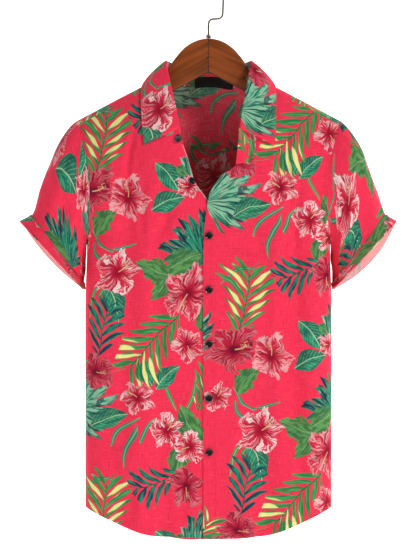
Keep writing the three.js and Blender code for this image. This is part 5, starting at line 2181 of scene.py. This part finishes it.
    def build_buttons(self) -> None:
        """Builds the five closed buttons, the one on the open edge and the one on the collar."""
        button = Button()
        black = PlainFinish("black_button", (10, 10, 11), (22, 21, 21), 0.16, coat=0.6, bump=0.02).material()
        thread = PlainFinish("button_thread", (28, 26, 27), (50, 46, 48), 0.7).material()
        places = [(Side.LEFT, 0.8, -408 - 85.3 * i) for i in range(5)]
        places.append((Side.RIGHT, -27.0, -322.0))
        spots = []
        for side, x, z in places:
            near = np.array([(x, z), (x + 4, z), (x - 4, z), (x, z + 4), (x, z - 4)])
            at = self.edges.at(side, near[:, 0], near[:, 1])
            spots.append((at[0], np.cross(at[1] - at[2], at[3] - at[4])))
        seam, roll, _ = self.lines.lines(np.array([-0.988, -0.978]))
        spots.append((lerp(seam[0], roll[0], 0.24), np.cross(seam[1] - seam[0], roll[0] - seam[0])))
        body, bridge = button.drilled(), mesh_object("bridge", *button.threads())
        for number, (at, outward) in enumerate(spots, 1):
            outward = outward * (-1 if outward[1] > 0 else 1)
            made = button.place(f"button_body_{number}", body, at, outward)
            finish_piece(made, black, "black_button", f"button_{number}")
            made = button.place(f"button_thread_{number}", bridge.data, at, outward)
            finish_piece(made, thread, "black_button")
        bpy.data.objects.remove(bridge)

    def sew(self, name: str, *lines: Array) -> None:
        """Sews lines of stitches as one piece."""
        finish_piece(self.stitcher.sew(name, list(lines)), None, "printed_cloth")

    def build(self) -> None:
        """Builds the whole shirt in order."""
        self.build_fronts()
        self.build_back()
        self.build_yoke()
        self.build_collar()
        self.build_sleeves()
        self.build_label()
        self.build_buttons()


@dataclass(frozen=True)
class Button:
    """A glossy button with a raised rim, a dished middle, four holes and its thread."""

    radius: float = 6.0
    thickness: float = 2.4
    rim: float = 0.5
    dish: float = 4.1
    hole: float = 0.75
    hole_place: float = 1.55
    stand_off: float = 0.6

    def drilled(self) -> bpy.types.Mesh:
        """Makes the button's mesh, with its holes cut by a Boolean.

        Returns:
            The mesh.
        """
        r, t = self.radius, self.thickness
        dished = t - self.rim
        profile = [(r - 1.6, 0.0), (r - 0.5, 0.25), (r, 0.9), (r, t - 0.7), (r - 0.3, t - 0.2)]
        profile += [(r - 0.8, t), (self.dish + 0.5, t - 0.05), (self.dish, dished), (1.0, dished - 0.2)]
        body = mesh_object("button_body", *lathe(profile, 40), 30)
        cutters = []
        for turn in range(4):
            angle = math.pi / 4 + turn * math.pi / 2
            vertices, faces = lathe([(self.hole, -1.0), (self.hole, t + 1.0)], 14)
            x, y = self.hole_place * math.cos(angle), self.hole_place * math.sin(angle)
            cutters.append((vertices + (x, y, 0), faces))
        vertices = np.concatenate([made for made, _ in cutters])
        count = len(cutters[0][0])
        faces = [[i + n * count for i in face] for n, (_, made) in enumerate(cutters) for face in made]
        tool = mesh_object("button_holes", vertices, faces)
        cut = body.modifiers.new("holes", "BOOLEAN")
        cut.object = tool
        cut.solver = "EXACT"
        mesh = plain_mesh(body)
        bpy.data.objects.remove(tool)
        mesh.set_sharp_from_angle(angle=math.radians(38))
        return mesh

    def threads(self) -> tuple[Array, list]:
        """Gives two low bridges of thread between the holes.

        Returns:
            Vertices and faces.
        """
        vertices, faces = [], []
        reach = self.hole_place / math.sqrt(2)
        top = self.thickness - self.rim - 0.2
        angles = np.linspace(0, 2 * math.pi, 8, endpoint=False)
        for x in (-reach, reach):
            first = len(vertices) * 8
            for share in np.linspace(-1, 1, 9):
                height = top + 0.35 - 0.75 * share**4
                ring = point(x + 0.36 * np.cos(angles), share * reach, height + 0.3 * np.sin(angles))
                vertices.append(ring)
            faces += [[i + first for i in face] for face in ring_faces(9, 8)]
        return np.concatenate(vertices), faces

    def place(self, name: str, mesh: bpy.types.Mesh, at: Array, outward: Array) -> bpy.types.Object:
        """Makes a copy of a mesh that stands on the cloth.

        Args:
            name: The object's name.
            mesh: The mesh to copy, in metres.
            at: The place on the cloth, in millimetres.
            outward: The way out of the cloth.

        Returns:
            The object, with its place in its mesh.
        """
        outward = unit(outward)
        turned = Vector(outward).to_track_quat("Z", "Y").to_matrix().to_4x4()
        turned.translation = Vector((at + outward * self.stand_off) * MILLIMETRE)
        copy = mesh.copy()
        copy.transform(turned)
        return add_object(name, copy)


@dataclass(frozen=True)
class Label:
    """The plain black label inside the back of the neck."""

    lines: CollarForm
    from_x: float = -21.5
    to_x: float = 38.0
    above: float = 11.5
    below: float = 5.5
    behind: float = 2.3
    bow: float = 0.25
    stitch: float = 1.2

    def sheet(self) -> Sheet:
        """Gives the label's grid on the stand's inner side, slightly bowed.

        Returns:
            The label's sheet.
        """
        x = np.linspace(self.from_x, self.to_x, 41)
        at = np.interp(np.abs(x), np.array([row[1] for row in self.lines.table[:4]]), [0, 0.12, 0.25, 0.36])
        seam, roll, _ = self.lines.lines(np.where(x < 0, -at, at))
        up = unit(roll - seam)
        t = np.linspace(0, 1, 15)[:, None, None]
        points = seam + up * lerp(self.above, -self.below, t)
        bow = np.sin(np.linspace(0, math.pi, 41)) * np.sin(t[..., 0] * math.pi)
        points[..., 1] -= self.behind + self.bow * bow
        down = -t[..., 0] * (self.above + self.below)
        flat = np.stack(np.broadcast_arrays(x / PRINT_UNIT, down / PRINT_UNIT), axis=-1)
        from_side = np.minimum(x - self.from_x, self.to_x - x) - self.stitch
        return Sheet(points, flat, np.abs(from_side) + 0 * t[..., 0])


@dataclass(frozen=True)
class Board:
    """One mitred half of the flat wooden hanger."""

    form: BodyForm
    side: Side
    thickness: float = 12.0
    edge: float = 3.0
    under_cloth: float = 3.4
    end_x: float = 203.0
    end_from: float = 190.0
    joint: float = 0.004
    top: tuple = (
        (0, -94.6), (12, -96.2), (26, -101.5), (39, -110.5), (50, -122.5), (58, -133.5), (64, -144.5),
        (66.3, -152), (69, -158.5), (75, -161),
    )
    under: tuple = (
        (0, -148), (19, -158.5), (42, -170.5), (62, -182.5), (100, -203), (150, -228), (188, -245),
    )

    def build(self) -> bpy.types.Object:
        """Builds the half as rounded sections from the joint to the arm's end.

        Returns:
            The mesh object.
        """
        form = self.form
        arms = [(x, float(form.ridge_z(x)) - self.under_cloth) for x in (90, 110, 135, 165, 190, 204)]
        stations = np.concatenate((np.linspace(0, 80, 54), np.linspace(84, 189, 27)))
        turns = np.linspace(0, math.pi / 2, 9)
        end = self.end_from + (self.end_x - self.end_from) * np.sin(turns)
        stations = np.concatenate((stations, end[:-1], [self.end_x - 0.02]))
        high = read_table((*self.top, *arms), 1, stations)
        low = read_table((*self.under, (204, -257)), 1, stations)
        past = np.clip((stations - self.end_from) / (self.end_x - self.end_from), 0, 1)
        shrink = np.sqrt(1 - past**2)
        rings, turned = [], []
        for x, top, bottom, share in zip(stations, high, low, shrink):
            middle, half = (top + bottom) / 2, (top - bottom) / 2
            deep = self.thickness / 2 * (0.45 + 0.55 * share)
            half = max(half * share, 0.4)
            radius = min(self.edge, half, deep)
            ring = []
            for corner, (sy, sz) in enumerate(((1, 1), (-1, 1), (-1, -1), (1, -1))):
                for angle in np.linspace(0, math.pi / 2, 6) + corner * math.pi / 2:
                    y = sy * (deep - radius) + radius * math.cos(angle)
                    z = middle + sz * (half - radius) + radius * math.sin(angle)
                    ring.append((self.side.value * max(x, self.joint), y, z))
                    turned.append(1 - abs(math.cos(angle)))
            rings.append(ring)
        faces = ring_faces(len(rings), len(rings[0]))
        if self.side is Side.RIGHT:
            faces = [face[::-1] for face in faces]
        name = self.side.name.lower()
        made = mesh_object("wood_" + name, np.concatenate(rings), faces, 50)
        # The edge attribute grows where the rounded corners turn to the top and bottom faces; the wood
        # material paints shade there with it.
        made.data.attributes.new("edge", "FLOAT", "POINT").data.foreach_set("value", turned)
        return made


@dataclass(frozen=True)
class Wire:
    """The hanger's wire hook and the ferrule at its foot."""

    radius: float = 1.6
    hook_radius: float = 23.5
    sides: int = 20
    ferrule_z: float = -94.3
    stem: tuple = (
        (0, -94), (0, -84), (0, -74), (1.2, -67.5), (5, -64.4), (12, -63.8), (18.5, -62.6), (22, -58.5),
        (22.8, -50), (23.3, -36),
    )

    def path(self) -> Array:
        """Gives the wire's middle line, smoothly through its bends.

        Returns:
            The line's points, as x and z.
        """
        turns = np.linspace(0, math.pi * 1.12, 26)
        centre_z = self.radius - self.hook_radius
        arc = [(self.hook_radius * math.cos(a), centre_z + self.hook_radius * math.sin(a)) for a in turns]
        knots = np.array([*self.stem, *arc], float)
        way = np.concatenate(([0], np.cumsum(np.sqrt(np.linalg.norm(np.diff(knots, axis=0), axis=1)))))
        line = []
        for i in range(len(knots) - 1):
            before, after = max(i - 1, 0), min(i + 2, len(knots) - 1)
            first = (knots[i + 1] - knots[before]) / (way[i + 1] - way[before])
            last = (knots[after] - knots[i]) / (way[after] - way[i])
            span = way[i + 1] - way[i]
            for t in np.linspace(0, 1, 6, endpoint=False):
                base = lerp(knots[i], knots[i + 1], t * t * (3 - 2 * t))
                line.append(base + span * (first * t * (1 - t) ** 2 - last * t * t * (1 - t)))
        return np.array([*line, knots[-1]])

    def build_hook(self) -> bpy.types.Object:
        """Builds the hook as a swept wire with a rounded end.

        Returns:
            The mesh object.
        """
        line = self.path()
        along = unit(np.gradient(line, axis=0))
        angles = np.linspace(0, 2 * math.pi, self.sides, endpoint=False)
        rings = []
        for (x, z), (dx, dz) in zip(line, along):
            side = self.radius * np.cos(angles)
            rings.append(point(x - dz * side, self.radius * np.sin(angles), z + dx * side))
        tip, (dx, dz) = rings[-1].mean(axis=0), along[-1]
        for angle in (0.5, 1.0, 1.4):
            ahead = np.array((dx, 0, dz)) * self.radius * math.sin(angle)
            rings.append(tip + ahead + (rings[len(line) - 1] - tip) * math.cos(angle))
        faces = ring_faces(len(rings), self.sides)
        return mesh_object("wire_hook", np.concatenate(rings), faces)

    def build_ferrule(self) -> bpy.types.Object:
        """Builds the ferrule, a small turned collar.

        Returns:
            The mesh object.
        """
        profile = [(4.0, 0.0), (4.0, 3.6), (3.8, 4.3), (3.3, 5.0), (2.6, 5.5), (1.7, 5.5)]
        vertices, faces = lathe(profile, 36)
        return mesh_object("wire_ferrule", vertices + (0, 0, self.ferrule_z), faces)


@dataclass(frozen=True)
class Hanger:
    """The wooden hanger with its wire hook."""

    form: BodyForm

    def build(self) -> None:
        """Builds both wooden halves, the ferrule and the hook."""
        woods = {
            Side.LEFT: VarnishedWood(shift=40, slant=-0.42, knots=((56, -157.7, 3.2),)),
            Side.RIGHT: VarnishedWood(shift=-90, slant=0.5, knots=((-1, -126, 2.6),)),
        }
        for side, wood in woods.items():
            made = Board(self.form, side).build()
            name = side.name.lower()
            finish_piece(made, wood.material("varnished_wood_" + name), "varnished_wood", "hanger_" + name)
        nickel = PlainFinish("nickel", (150, 144, 132), (112, 106, 96), 0.28, metallic=1.0).material()
        finish_piece(Wire().build_ferrule(), nickel, "nickel_wire", "hanger_ferrule")
        finish_piece(Wire().build_hook(), nickel, "nickel_wire", "hanger_hook")


@dataclass(frozen=True)
class Studio:
    """The pale backdrop, the soft light and the camera at the photo's angle."""

    distance: float = 7.0
    plane_y: float = -0.045
    centre_z: float = -0.474
    frame_height: float = 0.875
    camera_x: float = -0.0008
    sensor: float = 36.0

    def build_backdrop(self) -> None:
        """Builds a pale wall and floor in one sheet."""
        finish = PlainFinish("backdrop", (250, 250, 250), (246, 246, 246), 0.9, bump=0.0)
        profile = [(0.7, 2.5), (0.7, -1.4), (0.62, -1.66), (0.4, -1.8), (-6, -1.8)]
        vertices = [(x * 1000, y * 1000, z * 1000) for y, z in profile for x in (-5, 5)]
        faces = [(2 * i, 2 * i + 2, 2 * i + 3, 2 * i + 1) for i in range(len(profile) - 1)]
        wall = mesh_object("backdrop", vertices, faces, 60)
        white = finish.material()
        glow = white.node_tree.nodes["Principled BSDF"].inputs
        glow["Emission Color"].default_value = (1.0, 1.0, 1.0, 1.0)
        glow["Emission Strength"].default_value = 0.9
        wall.data.materials.append(white)

    def build_light(self, name: str, place: tuple, aim: tuple, size: float, power: float) -> None:
        """Adds one soft square light.

        Args:
            name: Its name.
            place: Where it is.
            aim: Where it points.
            size: Its width in metres.
            power: Its power in watts.
        """
        light = bpy.data.lights.new(name, "AREA")
        light.shape = "SQUARE"
        light.size = size
        light.energy = power
        made = add_object(name, light)
        made.location = place
        made.rotation_euler = (Vector(aim) - Vector(place)).to_track_quat("-Z", "Y").to_euler()

    def build_camera(self) -> None:
        """Adds the camera, square on to the front."""
        camera = bpy.data.cameras.new("camera")
        reach = self.distance + self.plane_y
        camera.lens = self.sensor / 2 / (self.frame_height / 2 / reach)
        camera.sensor_width = self.sensor
        made = add_object("camera", camera)
        made.location = (self.camera_x, -self.distance, self.centre_z)
        made.rotation_euler = (math.pi / 2, 0, 0)
        bpy.context.scene.camera = made

    def build(self) -> None:
        """Builds backdrop, lights, world and camera."""
        self.build_backdrop()
        aim = (0.0, 0.0, -0.5)
        self.build_light("key", (2.8, -2.8, 2.3), aim, 0.8, 120)
        self.build_light("fill", (-2.4, -2.2, 0.3), aim, 1.6, 12)
        world = bpy.data.worlds.new("studio")
        world.use_nodes = True
        sky = world.node_tree.nodes["Background"]
        sky.inputs[0].default_value = (1.0, 1.0, 1.0, 1.0)
        sky.inputs[1].default_value = 0.1
        bpy.context.scene.world = world
        bpy.context.scene.view_settings.view_transform = "Standard"
        self.build_camera()


def main() -> None:
    """Builds everything in order."""
    logging.basicConfig(level=logging.INFO, format="%(name)s: %(message)s")
    cloth = PrintedCloth().material()
    thread = PlainFinish("coral_thread", (236, 52, 78), (210, 30, 60), 0.7).material()
    form = BodyForm()
    Hanger(form).build()
    Shirt(form, cloth, Stitcher(thread)).build()
    Studio().build()


if __name__ == "__main__":
    main()
